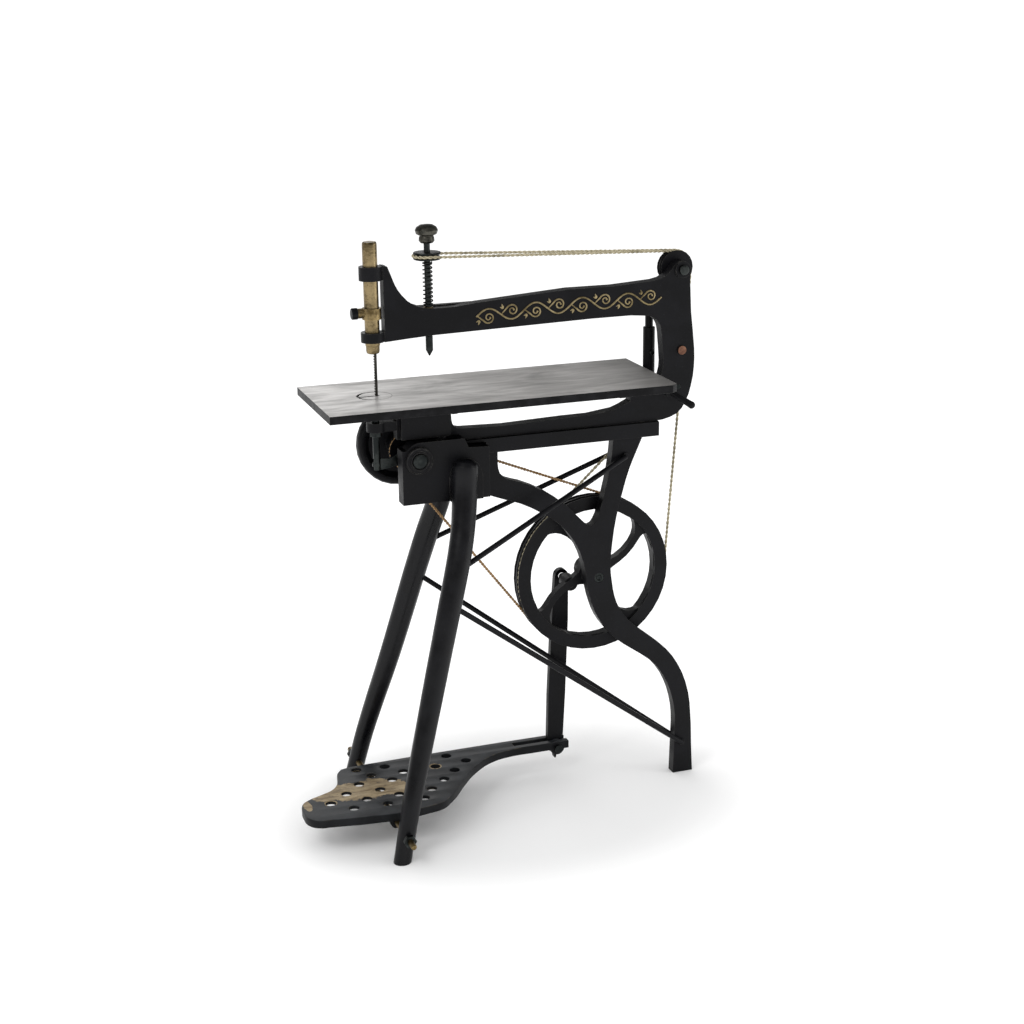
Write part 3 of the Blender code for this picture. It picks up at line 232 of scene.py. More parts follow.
def metal(name, dark, light, stain, rough=0.36, speckle=0.5, stretch=None, wear=1.0):
    """Turned or rolled metal with patina in the grain and bright rubbed edges."""
    look = Look(name)
    grain = look.noise(90.0, 6.0, 0.7, stretch)
    clouds = look.noise(28.0, 4.0)
    colour = look.mix(look.step(look.maths("ADD", grain, clouds), 0.8, 1.2), dark, light)
    spots = look.maths("MULTIPLY", look.step(look.noise(210.0, 6.0, 0.8), 0.54, 0.66), speckle)
    colour = look.mix(spots, colour, stain)
    bright = look.maths("MULTIPLY", look.edges(0.0015), 0.6 * wear)
    colour = look.mix(bright, colour, tuple(min(1.0, 1.5 * v) for v in light))
    gloss = look.step(grain, 0.3, 0.7, rough - 0.07, rough + 0.14)
    look.bump(grain, 0.4, 0.0004)
    shiny = look.maths("SUBTRACT", 1.0, look.maths("MULTIPLY", spots, 0.5))
    return look.done(colour, gloss, shiny)


# Where painted shade darkens the table's top towards its rear, as a lamp's reflection fades
# there, in millimetres behind its front edge
PAINTED_SHADE_START, PAINTED_SHADE_FULL = 500, 740


def table_metal(name):
    """Planed table: lengthwise streaks and rubbed patches on top, painted shade darkening the
    top towards its rear, black paint on its sides.
    """
    look = Look(name)
    streaks = look.noise(26.0, 7.0, 0.62, (0.35, 2.4, 1.0), 0.4)
    fine = look.noise(120.0, 5.0, 0.7, (0.12, 3.5, 1.0))
    patches = look.noise(7.5, 4.0, 0.6, (0.7, 1.6, 1.0), 0.8)
    wear = look.maths("ADD", look.maths("MULTIPLY", streaks, 0.45),
                      look.maths("MULTIPLY", patches, 0.75))
    wear = look.maths("ADD", wear, look.maths("MULTIPLY", fine, 0.18))
    metal_colour = look.mix(look.step(wear, 0.44, 0.94), (0.29, 0.282, 0.274),
                            (0.70, 0.682, 0.664))
    ragged = 0.16
    # Painted shade: the top darkens towards its rear, past a ragged line
    along = look.vector("DOT_PRODUCT", look.place, (1.0, 0.0, 0.0))
    dirt_and_painted_shade = look.maths("ADD", along, look.maths("MULTIPLY", patches, ragged))
    dirt_and_painted_shade = look.step(dirt_and_painted_shade, from_front(PAINTED_SHADE_START) + ragged / 2,
                       from_front(PAINTED_SHADE_FULL) + ragged / 2, 0.0, 0.72)
    metal_colour = look.mix(dirt_and_painted_shade, metal_colour, (0.075, 0.072, 0.068))
    pits = look.step(look.noise(330.0, 4.0, 0.8), 0.64, 0.71)
    metal_colour = look.mix(look.maths("MULTIPLY", pits, 0.55), metal_colour, (0.1, 0.09, 0.08))
    side = look.mix(look.step(look.noise(30.0, 6.0), 0.4, 0.7), (0.0035, 0.0035, 0.0042),
                    (0.012, 0.012, 0.0135))
    top = look.step(look.facing((0.0, 0.0, 1.0)), 0.55, 0.75)
    colour = look.mix(top, side, metal_colour)
    rim = look.maths("MULTIPLY", look.edges(0.0011), look.step(look.noise(60.0, 6.0), 0.36, 0.6))
    colour = look.mix(rim, colour, (0.46, 0.44, 0.42))
    gloss = look.step(wear, 0.5, 0.9, 0.50, 0.38)
    look.bump(fine, 0.25, 0.0003)
    metallic = look.maths("MAXIMUM", look.maths("MULTIPLY", top, 0.45), rim)
    return look.done(colour, gloss, metallic, look.step(top, 0.0, 1.0, 0.12, 0.35))


def slate_paint(name, patches):
    """Foot plate enamel, worn through to bare brass-coloured metal where feet rest, with painted
    shade on its sides and underside.
    """
    look = Look(name)
    clouds = look.noise(22.0, 5.0)
    colour = look.mix(look.step(clouds, 0.35, 0.68), (0.012, 0.0132, 0.0150),
                      (0.036, 0.039, 0.043))
    ragged = look.noise(48.0, 8.0, 0.74, warp=0.7)
    nearest = None
    for centre, radii in patches:
        away = look.vector("SUBTRACT", look.place, centre)
        away = look.vector("LENGTH", look.vector("DIVIDE", away, radii))
        nearest = away if nearest is None else look.maths("MINIMUM", nearest, away)
    edge = look.maths("ADD", nearest, look.maths("MULTIPLY", ragged, 1.15))
    top = look.step(look.facing((0.0, 0.0, 1.0)), 0.2, 0.6)
    # Painted shade: sides and underside darkened towards near black
    colour = look.mix(look.step(top, 0.0, 1.0, 0.75, 0.0), colour, (0.004, 0.0042, 0.0048))
    patch = look.maths("MULTIPLY", look.step(edge, 1.52, 1.47), top)
    rubbed = look.maths("MULTIPLY", look.edges(0.0026),
                        look.step(look.noise(9.0, 3.0), 0.47, 0.53))
    rubbed = look.maths("MULTIPLY", rubbed, look.step(ragged, 0.40, 0.5))
    bare = look.maths("MAXIMUM", patch, rubbed)
    brassy = look.mix(look.step(look.noise(60.0, 6.0, 0.7, (0.4, 1.5, 1.0)), 0.35, 0.65),
                      (0.20, 0.145, 0.080), (0.42, 0.33, 0.20))
    left = look.maths("MULTIPLY", look.step(look.noise(110.0, 7.0, 0.8), 0.57, 0.62), 0.85)
    brassy = look.mix(left, brassy, (0.06, 0.055, 0.05))
    colour = look.mix(bare, colour, brassy)
    gloss = look.mix(bare, look.step(clouds, 0.3, 0.7, 0.40, 0.52), (0.5, 0.5, 0.5))
    chips = look.maths("MULTIPLY", bare, -0.6)
    grit = look.maths("MULTIPLY", look.noise(230.0, 5.0, 0.65), 0.4)
    look.bump(look.maths("ADD", chips, grit), 0.4, 0.0006)
    return look.done(colour, gloss, look.maths("MULTIPLY", bare, 0.35),
                     look.step(top, 0.0, 1.0, 0.12, 0.35))


def cord_look(name, dark, light, crease_shade_and_dirt):
    """Twisted cord: fibre streaks, painted shade between the plies that leaves the crowns
    lighter, and patches of dirt.
    """
    look = Look(name)
    fibres = look.noise(700.0, 4.0, 0.7)
    colour = look.mix(look.step(fibres, 0.35, 0.65), dark, light)
    # Painted shade in the creases between the plies, darkest where a point lies low on its ply
    crown = look.nodes.new("ShaderNodeAttribute")
    crown.attribute_name = "crown"
    colour = look.mix(look.step(crown.outputs["Fac"], 0.15, 0.75, 1.0, 0.0), colour, crease_shade_and_dirt)
    # Patches of dirt, in the same dark colour
    dirt_and_painted_shade = look.maths("MULTIPLY", look.step(look.noise(26.0, 4.0), 0.5, 0.68), 0.5)
    colour = look.mix(dirt_and_painted_shade, colour, crease_shade_and_dirt)
    look.bump(fibres, 0.6, 0.0004)
    return look.done(colour, look.step(fibres, 0.3, 0.7, 0.75, 0.95), 0.0, 0.2)


BLACK = ((0.0022, 0.0022, 0.0030), (0.0056, 0.0057, 0.0072), (0.15, 0.142, 0.13))
LOOKS = {
    "black_paint": paint("enamel_black", *BLACK),
    "slate_paint": paint("enamel_slate", (0.020, 0.022, 0.026), (0.045, 0.048, 0.054),
                         (0.30, 0.25, 0.16)),
    "table_metal": table_metal("planed_table"),
    "brass": metal("old_brass", (0.11, 0.082, 0.041), (0.36, 0.275, 0.145),
                   (0.045, 0.035, 0.018), 0.33, 0.75, (1.0, 1.0, 2.2)),
    "copper": metal("dull_copper", (0.13, 0.065, 0.045), (0.33, 0.17, 0.11),
                    (0.05, 0.03, 0.025), 0.42, 0.6),
    "steel": metal("blued_steel", (0.018, 0.021, 0.021), (0.050, 0.055, 0.053),
                   (0.012, 0.012, 0.011), 0.38, 0.5, wear=1.6),
}
WORN_KNOB = metal("rubbed_knob", (0.018, 0.019, 0.017), (0.095, 0.092, 0.078),
                  (0.16, 0.13, 0.08), 0.36, 0.35, wear=1.8)
BLADE = metal("saw_blade_steel", (0.025, 0.024, 0.021), (0.085, 0.080, 0.070),
              (0.02, 0.017, 0.013), 0.4, 0.5, (1.0, 1.0, 3.0))
GILT = metal("worn_gilt", (0.20, 0.155, 0.075), (0.48, 0.39, 0.22), (0.05, 0.045, 0.035),
             0.46, 0.75)
LEG_PAINT = paint("enamel_leg", *BLACK, rough=0.34, shine=0.22)
COLLAR = metal("tarnished_brass", (0.10, 0.070, 0.030), (0.36, 0.27, 0.13),
               (0.022, 0.018, 0.012), 0.36, 0.9)
DRIVE_CORD = cord_look("cord_tan", (0.20, 0.115, 0.050), (0.50, 0.32, 0.16),
                       (0.030, 0.017, 0.008))
DRILL_CORD = cord_look("cord_olive", (0.24, 0.205, 0.125), (0.62, 0.56, 0.40),
                       (0.035, 0.030, 0.018))


# ---------------------------------------------------------------- CAD pieces

def soften(node, width):
    """Welds a CAD node's facets, rounds its edges and shades it smooth."""
    mesh = node.data
    for name in ("custom_normal", "sharp_face", "sharp_edge"):
        if mesh.attributes.get(name):
            mesh.attributes.remove(mesh.attributes[name])
    mesh.polygons.foreach_set("use_smooth", [True] * len(mesh.polygons))
    weld = node.modifiers.new("weld", "WELD")
    weld.merge_threshold = 0.02 * MM
    flat = node.modifiers.new("flat", "DECIMATE")
    flat.decimate_type = "DISSOLVE"
    flat.angle_limit = math.radians(0.6)
    bevel = node.modifiers.new("bevel", "BEVEL")
    bevel.limit_method = "ANGLE"
    bevel.angle_limit = math.radians(38)
    bevel.width = width
    bevel.segments = 2
    bevel.miter_outer = "MITER_ARC"
    bevel.use_clamp_overlap = True
    normals = node.modifiers.new("normals", "WEIGHTED_NORMAL")
    normals.keep_sharp = False
    normals.weight = 50


# CAD nodes by material slot; all others are black_paint
SLOTS = {"slate_paint": ["treadle"], "table_metal": ["table", "throat_insert"],
         "brass": ["upper_spindle", "blade_nose", "spindle_collar", "drill_bush"],
         "copper": ["column_bolt"],
         "steel": ["axle_nut_near", "axle_nut_far", "crank_pin", "flywheel_shaft",
                   "shaft_collar", "front_shaft", "crank_journal", "rocker_lever",
                   "rocker_pin", "lower_spindle", "lower_spindle_nut", "tilt_pin_front",
                   "tilt_pin_rear", "drill_spindle", "drill_pulley", "drill_bit",
                   "idler_axle", "cord_guide", "treadle_axle", "pitman_pin", "post_screw",
                   "housing_dowel_upper", "housing_dowel_lower"]}
SLOT_OF = {node: slot for slot, names in SLOTS.items() for node in names}
BEVELS = {"saw_blade": 0.1 * MM, "drill_bit": 0.3 * MM, "table": 0.9 * MM,
          "throat_insert": 0.3 * MM, "saw_frame": 1.3 * MM, "stand_casting": 1.3 * MM,
          "front_housing": 1.2 * MM, "flywheel": 1.2 * MM, "pitman": 1.8 * MM}
OWN_LOOK = {"drill_knob": WORN_KNOB, "saw_blade": BLADE, "spindle_collar": COLLAR,
            "treadle_axle": COLLAR}

for name, node in NODES.items():
    node.data.materials.clear()
    node.data.materials.append(OWN_LOOK.get(name, LOOKS[SLOT_OF.get(name, "black_paint")]))
    soften(node, BEVELS.get(name, 0.6 * MM))


# ---------------------------------------------------------------- mesh helpers

def new_piece(name, vertices, faces, look, slot):
    """A smooth-shaded piece in the scene with one material; the slot argument is not used."""
    mesh = bpy.data.meshes.new(name)
    mesh.from_pydata([tuple(v) for v in vertices], [], faces)
    mesh.update()
    mesh.polygons.foreach_set("use_smooth", [True] * len(mesh.polygons))
    mesh.materials.append(look)
    piece = bpy.data.objects.new(name, mesh)
    bpy.context.scene.collection.objects.link(piece)
    return piece


def transported(points, closed):
    """Tangent, normal and binormal at each point, turned as little as possible."""
    count = len(points)
    if closed:
        ahead, behind = np.roll(points, -1, axis=0), np.roll(points, 1, axis=0)
    else:
        ahead = np.vstack([points[1:], 2 * points[-1:] - points[-2:-1]])
        behind = np.vstack([2 * points[:1] - points[1:2], points[:-1]])
    tangents = ahead - behind
    tangents /= np.linalg.norm(tangents, axis=1)[:, None]
    normal = np.cross(tangents[0], (0.0, 1.0, 0.02))
    normal /= np.linalg.norm(normal)
    normals = np.zeros_like(points)
    for k in range(count):
        normal = normal - tangents[k] * (normal @ tangents[k])
        normal /= np.linalg.norm(normal)
        normals[k] = normal
    binormals = np.cross(tangents, normals)
    if closed:
        last = normals[-1] - tangents[0] * (normals[-1] @ tangents[0])
        miss = math.atan2(last @ binormals[0], last @ normals[0])
        turn = -miss * np.arange(count) / count
        cos, sin = np.cos(turn)[:, None], np.sin(turn)[:, None]
        normals, binormals = normals * cos + binormals * sin, binormals * cos - normals * sin
    return tangents, normals, binormals


def sweep(points, radii, sides, closed=False, start=0):
    """Vertices and faces of a round bar along points; open ends get caps."""
    points = np.array(points, float)
    count = len(points)
    radii = np.full(count, radii) if np.isscalar(radii) else np.array(radii, float)
    _, normals, binormals = transported(points, closed)
    around = 2 * math.pi * np.arange(sides) / sides
    rings = (points[:, None, :] + radii[:, None, None]
             * (normals[:, None, :] * np.cos(around)[None, :, None]
                + binormals[:, None, :] * np.sin(around)[None, :, None]))
    faces = []
    for k in range(count if closed else count - 1):
        a, b = start + k * sides, start + ((k + 1) % count) * sides
        faces += [(a + j, a + (j + 1) % sides, b + (j + 1) % sides, b + j)
                  for j in range(sides)]
    if not closed:
        last = start + (count - 1) * sides
        faces.append(tuple(start + j for j in reversed(range(sides))))
        faces.append(tuple(last + j for j in range(sides)))
    return rings.reshape(-1, 3), faces


def evenly(points, spacing, closed):
    """Points resampled at an even spacing, and the path's length."""
    points = np.array(points, float)
    if closed:
        points = np.vstack([points, points[:1]])
    steps = np.linalg.norm(np.diff(points, axis=0), axis=1)
    run = np.concatenate([[0.0], np.cumsum(steps)])
    count = max(8, int(run[-1] / spacing))
    at = np.linspace(0.0, run[-1], count + 1)
    even = np.column_stack([np.interp(at, run, points[:, axis]) for axis in range(3)])
    return (even[:-1] if closed else even), run[-1]


# A cord's plies: their number, sides, and offset and radius as shares of the cord's radius
PLIES, PLY_SIDES, PLY_OFFSET, PLY_RADIUS = 2, 7, 0.47, 0.56
UNEVEN_WAVES = 4


def twisted_cord(name, path, radius, pitch, look, slot, closed=False, seed=1):
    """Two plies laid round each other along a path, with uneven thickness."""
    centre, length = evenly(path, pitch / 9, closed)
    _, normals, binormals = transported(centre, closed)
    turns = round(length / pitch)
    along = np.arange(len(centre)) / (len(centre) if closed else len(centre) - 1)
    dice = random.Random(seed)
    waves = [(dice.randint(20, 160), dice.uniform(0, 6.28), dice.uniform(0.03, 0.06))
             for _ in range(UNEVEN_WAVES)]
    uneven = 1 + sum(size * np.sin(2 * math.pi * rate * along + shift)
                     for rate, shift, size in waves)
    vertices, faces, crowns = [], [], []
    for ply in range(PLIES):
        angle = 2 * math.pi * (turns * along + ply / PLIES)
        strand = centre + radius * PLY_OFFSET * (normals * np.cos(angle)[:, None]
                                                 + binormals * np.sin(angle)[:, None])
        made, joined = sweep(strand, radius * PLY_RADIUS * uneven, PLY_SIDES, closed,
                             len(vertices))
        vertices = np.vstack([vertices, made]) if len(vertices) else made
        faces += joined
        outward = np.linalg.norm(made - np.repeat(centre, PLY_SIDES, axis=0), axis=1)
        crowns += list(outward / radius)
    piece = new_piece(name, vertices, faces, look, slot)
    crown = piece.data.attributes.new("crown", "FLOAT", "POINT")
    crown.data.foreach_set("value", np.array(crowns, np.float32))
    return piece


def arc(centre, radius, start, end, step=3.0):
    """Points on an arc in the XZ plane, as (x, z), from start to end in degrees."""
    count = max(2, round(abs(end - start) / step))
    angles = [math.radians(start + (end - start) * k / count) for k in range(count + 1)]
    return [(centre[0] + radius * math.cos(a), centre[1] + radius * math.sin(a))
            for a in angles]


def tangent_angle(first, first_radius, second, second_radius):
    """Direction of the touching points of a cord's straight run between two wheels."""
    dx, dz = second[0] - first[0], second[1] - first[1]
    lean = math.asin((first_radius - second_radius) / math.hypot(dx, dz))
    return math.degrees(math.atan2(dz, dx) + lean) - 90


# ---------------------------------------------------------------- cords

CORD_RADIUS = 2.9 * MM
DRIVE_CORD_PITCH = 14 * MM
DRILL_CORD_PITCH = 20 * MM
# The drill cord's front run is all on the drill's side of here
SPLIT_X = DRILL_X + 33 * MM
LOOP_STEPS = 24


def drive_cord():
    """Endless cord from the flywheel to the front pulley."""
    dx, dz = WHEEL[0] - FRONT[0], WHEEL[1] - FRONT[1]
    slope = math.degrees(math.atan2(dz, dx))
    spread = math.degrees(math.asin((CORD_SEAT - PULLEY_SEAT) / math.hypot(dx, dz)))
    loop = arc(WHEEL, CORD_SEAT, slope + 90 + spread, slope - 90 - spread)
    loop += arc(FRONT, PULLEY_SEAT, slope - 90 - spread, slope - 270 + spread, 6.0)
    cord = twisted_cord("drive_cord_twisted", [(x, DRIVE_CORD_Y, z) for x, z in loop],
                        CORD_RADIUS, DRIVE_CORD_PITCH, DRIVE_CORD, "brown_cord",
                        closed=True)
    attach(cord, "frame")
    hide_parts("drive_cord")


def drill_cord():
    """Long cord in two runs. The rear run stays on the frame; the front run reaches to the
    drill."""
    rise = DRILL_CORD_Z - IDLER[1] - IDLER_SEAT
    top = 90 - math.degrees(math.atan2(rise, IDLER[0] - SPLIT_X))
    down = tangent_angle(GUIDE, GUIDE_SEAT, IDLER, IDLER_SEAT)
    leave = tangent_angle(WHEEL, -CORD_SEAT, GUIDE, GUIDE_SEAT) + 180
    rear = tangent_angle(WHEEL, CORD_SEAT, IDLER, IDLER_SEAT)
    back = [(x, IDLER_FAR_Y, z) for x, z in arc(IDLER, IDLER_SEAT, top, down, 6.0)]
    back += [(x, DRILL_CORD_Y, z) for x, z in arc(GUIDE, GUIDE_SEAT, down, leave - 180, 9.0)]
    back += [(x, DRILL_CORD_Y, z) for x, z in arc(WHEEL, CORD_SEAT, leave, 360 + rear)]
    back += [(x, IDLER_NEAR_Y, z) for x, z in arc(IDLER, IDLER_SEAT, rear, top, 6.0)]
    rear_run = twisted_cord("drill_cord_rear_run", back, CORD_RADIUS, DRILL_CORD_PITCH,
                            DRILL_CORD, "olive_cord", seed=2)
    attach(rear_run, "frame")
    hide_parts("drill_cord")

    front = [back[0]]
    front += [(DRILL_X + DRILL_SEAT * math.sin(a), DRILL_SEAT * math.cos(a), DRILL_CORD_Z)
              for a in (-math.pi * k / LOOP_STEPS for k in range(LOOP_STEPS + 1))]
    front.append(back[-1])
    front_run = twisted_cord("drill_cord_front_run", front, CORD_RADIUS,
                             DRILL_CORD_PITCH, DRILL_CORD, "olive_cord", seed=3)
    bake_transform(front_run)
    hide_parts("drill_cord_loop")


drive_cord()
drill_cord()


# ---------------------------------------------------------------- drill spring

SPRING_TURNS = 12
STEPS_PER_TURN = 28
SPRING_WIRE = 1.45 * MM
COIL_INSET = 1.4 * MM
# Share of the spring's turns that lie close at each end, and their rise against an even one
END_SHARE = 0.09
END_SLOPE = 0.35


def coil_height(share):
    """Height along the spring at a share of its turns; the end turns lie close."""
    if share < END_SHARE:
        return END_SLOPE * share
    if share > 1 - END_SHARE:
        return 1 - END_SLOPE * (1 - share)
    low = END_SLOPE * END_SHARE
    return low + (1 - 2 * low) * (share - END_SHARE) / (1 - 2 * END_SHARE)


def return_spring():
    """Coil round the drill spindle, fixed to the frame; the real coil shortens when the drill is
    fed down.
    """
    foot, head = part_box("drill_spring")
    coil = (head.y - foot.y) / 2 - COIL_INSET
    low, high = foot.z + SPRING_WIRE, head.z - SPRING_WIRE
    count = SPRING_TURNS * STEPS_PER_TURN
    helix = []
    for k in range(count + 1):
        angle = 2 * math.pi * k / STEPS_PER_TURN
        helix.append((DRILL_X + coil * math.cos(angle), coil * math.sin(angle),
                      low + (high - low) * coil_height(k / count)))
    spring = new_piece("drill_return_spring", *sweep(helix, SPRING_WIRE, 10),
                       LOOKS["steel"], "steel")
    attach(spring, "frame")
    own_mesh(spring)
    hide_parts("drill_spring")


return_spring()


# ---------------------------------------------------------------- foot plate

def outline_curve(name, loops, depth, bevel, smooth_steps=10):
    """Mesh of a flat plate with rounded edges from (points, smooth) loops, in millimetres
    from the table's front edge; a third value marks a sharp corner."""
    curve = bpy.data.curves.new(name, "CURVE")
    curve.dimensions = "2D"
    curve.fill_mode = "BOTH"
    curve.extrude = depth / 2 - bevel
    curve.bevel_depth = bevel
    curve.bevel_resolution = 3
    curve.offset = -bevel
    curve.resolution_u = smooth_steps
    for points, smooth in loops:
        spline = curve.splines.new("BEZIER" if smooth else "POLY")
        spline.use_cyclic_u = True
        knots = spline.bezier_points if smooth else spline.points
        knots.add(len(points) - 1)
        for knot, point in zip(knots, points):
            knot.co = (from_front(point[0]), point[1] * MM, 0.0) + (() if smooth else (1.0,))
            if smooth:
                handle = "VECTOR" if len(point) == 3 else "AUTO"
                knot.handle_left_type = knot.handle_right_type = handle
    holder = bpy.data.objects.new(name, curve)
    bpy.context.scene.collection.objects.link(holder)
    bpy.context.view_layer.update()
    evaluated = holder.evaluated_get(bpy.context.evaluated_depsgraph_get())
    mesh = bpy.data.meshes.new_from_object(evaluated)
    bpy.data.objects.remove(holder)
    return mesh


SHARP = "sharp"
# Knots in millimetres: x from the table's front edge, y from the machine's middle plane
PLATE_OUTLINE = [
    (-71, -66), (-66, -98), (-50, -113), (-28, -117, SHARP), (30, -127, SHARP),
    (111, -136, SHARP), (170, -126), (200, -118), (222, -98), (240, -77), (269, -36),
    (313, 18), (364, 57), (408, 69), (460, 70, SHARP), (538, 70, SHARP),
    (538, 84.5, SHARP), (420, 84.5, SHARP), (420, 99.5, SHARP), (538, 99.5, SHARP),
    (538, 112, SHARP), (400, 113, SHARP), (199, 111, SHARP), (66, 107, SHARP),
    (46, 101, SHARP), (34, 82), (26, 46), (8, 15), (-21, -2), (-46, -14), (-64, -30),
]
PLATE_HOLES = [
    (76, 87), (135, 83), (98, 52), (165, 47), (270, 88), (234, 47), (302, 52), (266, 16),
    (133, 18), (233, -18), (64, 20), (98, -18), (170, -16), (196, -52), (29, -14),
    (128, -52), (62, -51), (95, -86), (27, -82), (170, -87), (-11, -46), (200, 84),
]
PLATE_DEPTH = 17 * MM
PLATE_SKIN = 7 * MM
PLATE_WALL = 8.0
PLATE_HOLE = 10.5
PLATE_TOP = FORK_PIN[1] + 13.5 * MM
HOLLOW_END = 290
PIN_BORE = 6.3 * MM
LUG_MIDDLES, LUG_WIDTH = (-121 * MM, 99 * MM), 12 * MM
FORK_EARS = ((70.5, 84.5), (99.5, 111.5))


def circle(x, y, radius, sides=32):
    """Corners of a round hole or boss."""
    return [(x + radius * math.cos(2 * math.pi * k / sides),
             y + radius * math.sin(2 * math.pi * k / sides)) for k in range(sides)]


def lathe(profile, place, steps=40):
    """Vertices and faces of a closed ring turned about a line along Y through (x, z).
    The profile is (radius, y)."""
    count = len(profile)
    vertices, faces = [], []
    for k in range(steps):
        angle = 2 * math.pi * k / steps
        vertices += [(place[0] + r * math.cos(angle), y, place[1] + r * math.sin(angle))
                     for r, y in profile]
        after = (k + 1) % steps
        faces += [(k * count + j, k * count + (j + 1) % count,
                   after * count + (j + 1) % count, after * count + j)
                  for j in range(count)]
    return vertices, faces


def placed(name, mesh):
    """A new object in the scene with this mesh."""
    holder = bpy.data.objects.new(name, mesh)
    bpy.context.scene.collection.objects.link(holder)
    return holder


def welded(mesh):
    """The mesh as one closed skin with its faces turned outwards."""
    shape = bmesh.new()
    shape.from_mesh(mesh)
    bmesh.ops.remove_doubles(shape, verts=shape.verts, dist=0.00001)
    bmesh.ops.recalc_face_normals(shape, faces=shape.faces)
    shape.to_mesh(mesh)
    shape.free()
    return mesh


def combined(base, steps):
    """The base mesh after Booleans with (operation, tool mesh) steps."""
    target = placed("base", welded(base))
    tools = []
    for operation, mesh in steps:
        tool = placed("tool", welded(mesh))
        tools.append(tool)
        modifier = target.modifiers.new(operation, "BOOLEAN")
        modifier.operation = operation
        modifier.object = tool
        modifier.solver = "EXACT"
    bpy.context.view_layer.update()
    evaluated = target.evaluated_get(bpy.context.evaluated_depsgraph_get())
    result = bpy.data.meshes.new_from_object(evaluated)
    for obj in [target] + tools:
        bpy.data.objects.remove(obj)
    return result


def mesh_of(vertices, faces):
    """A mesh of plain vertex and face lists."""
    mesh = bpy.data.meshes.new("shape")
    mesh.from_pydata([tuple(v) for v in vertices], [], faces)
    return mesh


def bar_along_y(place, radius, low, high):
    """A round bar through (x, z), to cut a bore."""
    return mesh_of(*sweep([(place[0], low, place[1]), (place[0], high, place[1])], radius, 32))


def inset(outline, distance):
    """The outline's knots moved inwards by a distance in millimetres."""
    moved = []
    for before, knot, after in zip(outline[-1:] + outline, outline, outline[1:] + outline[:1]):
        along = Vector((after[0] - before[0], after[1] - before[1])).normalized()
        moved.append((knot[0] - along.y * distance, knot[1] + along.x * distance,
                      SHARP))
    return moved


def foot_plate():
    """Lobed foot plate, hollow underneath, with round holes, axle lugs and a forked arm."""
    loops = [(PLATE_OUTLINE, True)]
    loops += [(circle(x, y, PLATE_HOLE)[::-1], False) for x, y in PLATE_HOLES]
    plate = outline_curve("plate", loops, PLATE_DEPTH, 1.3 * MM)
    plate.transform(Matrix.Translation((0.0, 0.0, PLATE_TOP - PLATE_DEPTH / 2)))
    outline = [point for point in inset(PLATE_OUTLINE, PLATE_WALL)
               if point[0] < HOLLOW_END]
    hollow = outline_curve("hollow", [(outline, True)], PLATE_DEPTH, 0.0)
    hollow.transform(Matrix.Translation((0.0, 0.0, PLATE_TOP - PLATE_SKIN - PLATE_DEPTH / 2)))
    x = (TREADLE_AXLE[0] - FRONT_EDGE) / MM
    z = TREADLE_AXLE[1] / MM
    root = (PLATE_TOP - PLATE_SKIN / 2) / MM
    lug = [(x - 14, root, SHARP), (x - 12, z - 6), (x - 7, z - 12), (x, z - 13.5),
           (x + 7, z - 12), (x + 12, z - 6), (x + 14, root, SHARP)]
    steps = [("DIFFERENCE", hollow)]
    for y in LUG_MIDDLES:
        mesh = outline_curve("lug", [(lug, True)], LUG_WIDTH, 0.8 * MM)
        mesh.transform(Matrix.Translation((0.0, y, 0.0)) @ Matrix.Rotation(math.pi / 2, 4, "X"))
        steps.append(("UNION", mesh))
    for low, high in FORK_EARS:
        profile = [(14.8, high), (16, high - 1.2), (16, low + 1.2), (14.8, low),
                   (3, low), (3, high)]
        steps.append(("UNION", mesh_of(*lathe([(r * MM, y * MM) for r, y in profile],
                                              FORK_PIN))))
    steps.append(("DIFFERENCE", bar_along_y(TREADLE_AXLE, PIN_BORE, -0.15, 0.13)))
    steps.append(("DIFFERENCE", bar_along_y(FORK_PIN, PIN_BORE, 0.06, 0.125)))
    mesh = combined(plate, steps)
    mesh.materials.clear()
    mesh.materials.append(SLATE)
    mesh.polygons.foreach_set("use_smooth", [True] * len(mesh.polygons))
    mesh.set_sharp_from_angle(angle=math.radians(35))
    piece = placed("treadle_foot_plate", mesh)
    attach(piece, "treadle")
    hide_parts("treadle")


# Worn patches on top of the plate, as x, y and their radii, in millimetres
PATCHES = [(-12, -12, 30, 24), (38, -8, 50, 42), (88, -8, 48, 46), (128, -20, 36, 38),
           (-57, -42, 9, 26), (234, 47, 15, 15), (-11, -46, 14, 14)]
PATCH_HEIGHT, PATCH_DEPTH = 74.5 * MM, 40 * MM
SLATE = slate_paint("foot_plate_enamel",
                    [((from_front(x), y * MM, PATCH_HEIGHT), (rx * MM, ry * MM, PATCH_DEPTH))
                     for x, y, rx, ry in PATCHES])
foot_plate()


# ---------------------------------------------------------------- bearing cap

def bearing_cap():
    """Stepped rings cast on the front bearing's face, round the end of the shaft."""
    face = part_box("front_housing")[0].y / MM
    profile = [(26.6, face + 0.4), (26.6, face - 1.4), (26.0, face - 2.0),
               (24.9, face - 2.0), (24.2, face - 0.6), (19.2, face - 0.6),
               (18.6, face - 2.6), (18.0, face - 3.2), (16.4, face - 3.2),
               (15.6, face - 2.4), (15.6, face + 0.4)]
    vertices, faces = lathe([(r * MM, y * MM) for r, y in profile], FRONT, 56)
    cap = new_piece("bearing_cap_rings", vertices, faces, LOOKS["black_paint"],
                    "black_paint")
    cap.data.set_sharp_from_angle(angle=math.radians(38))
    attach(cap, "frame")


bearing_cap()


# ---------------------------------------------------------------- front legs

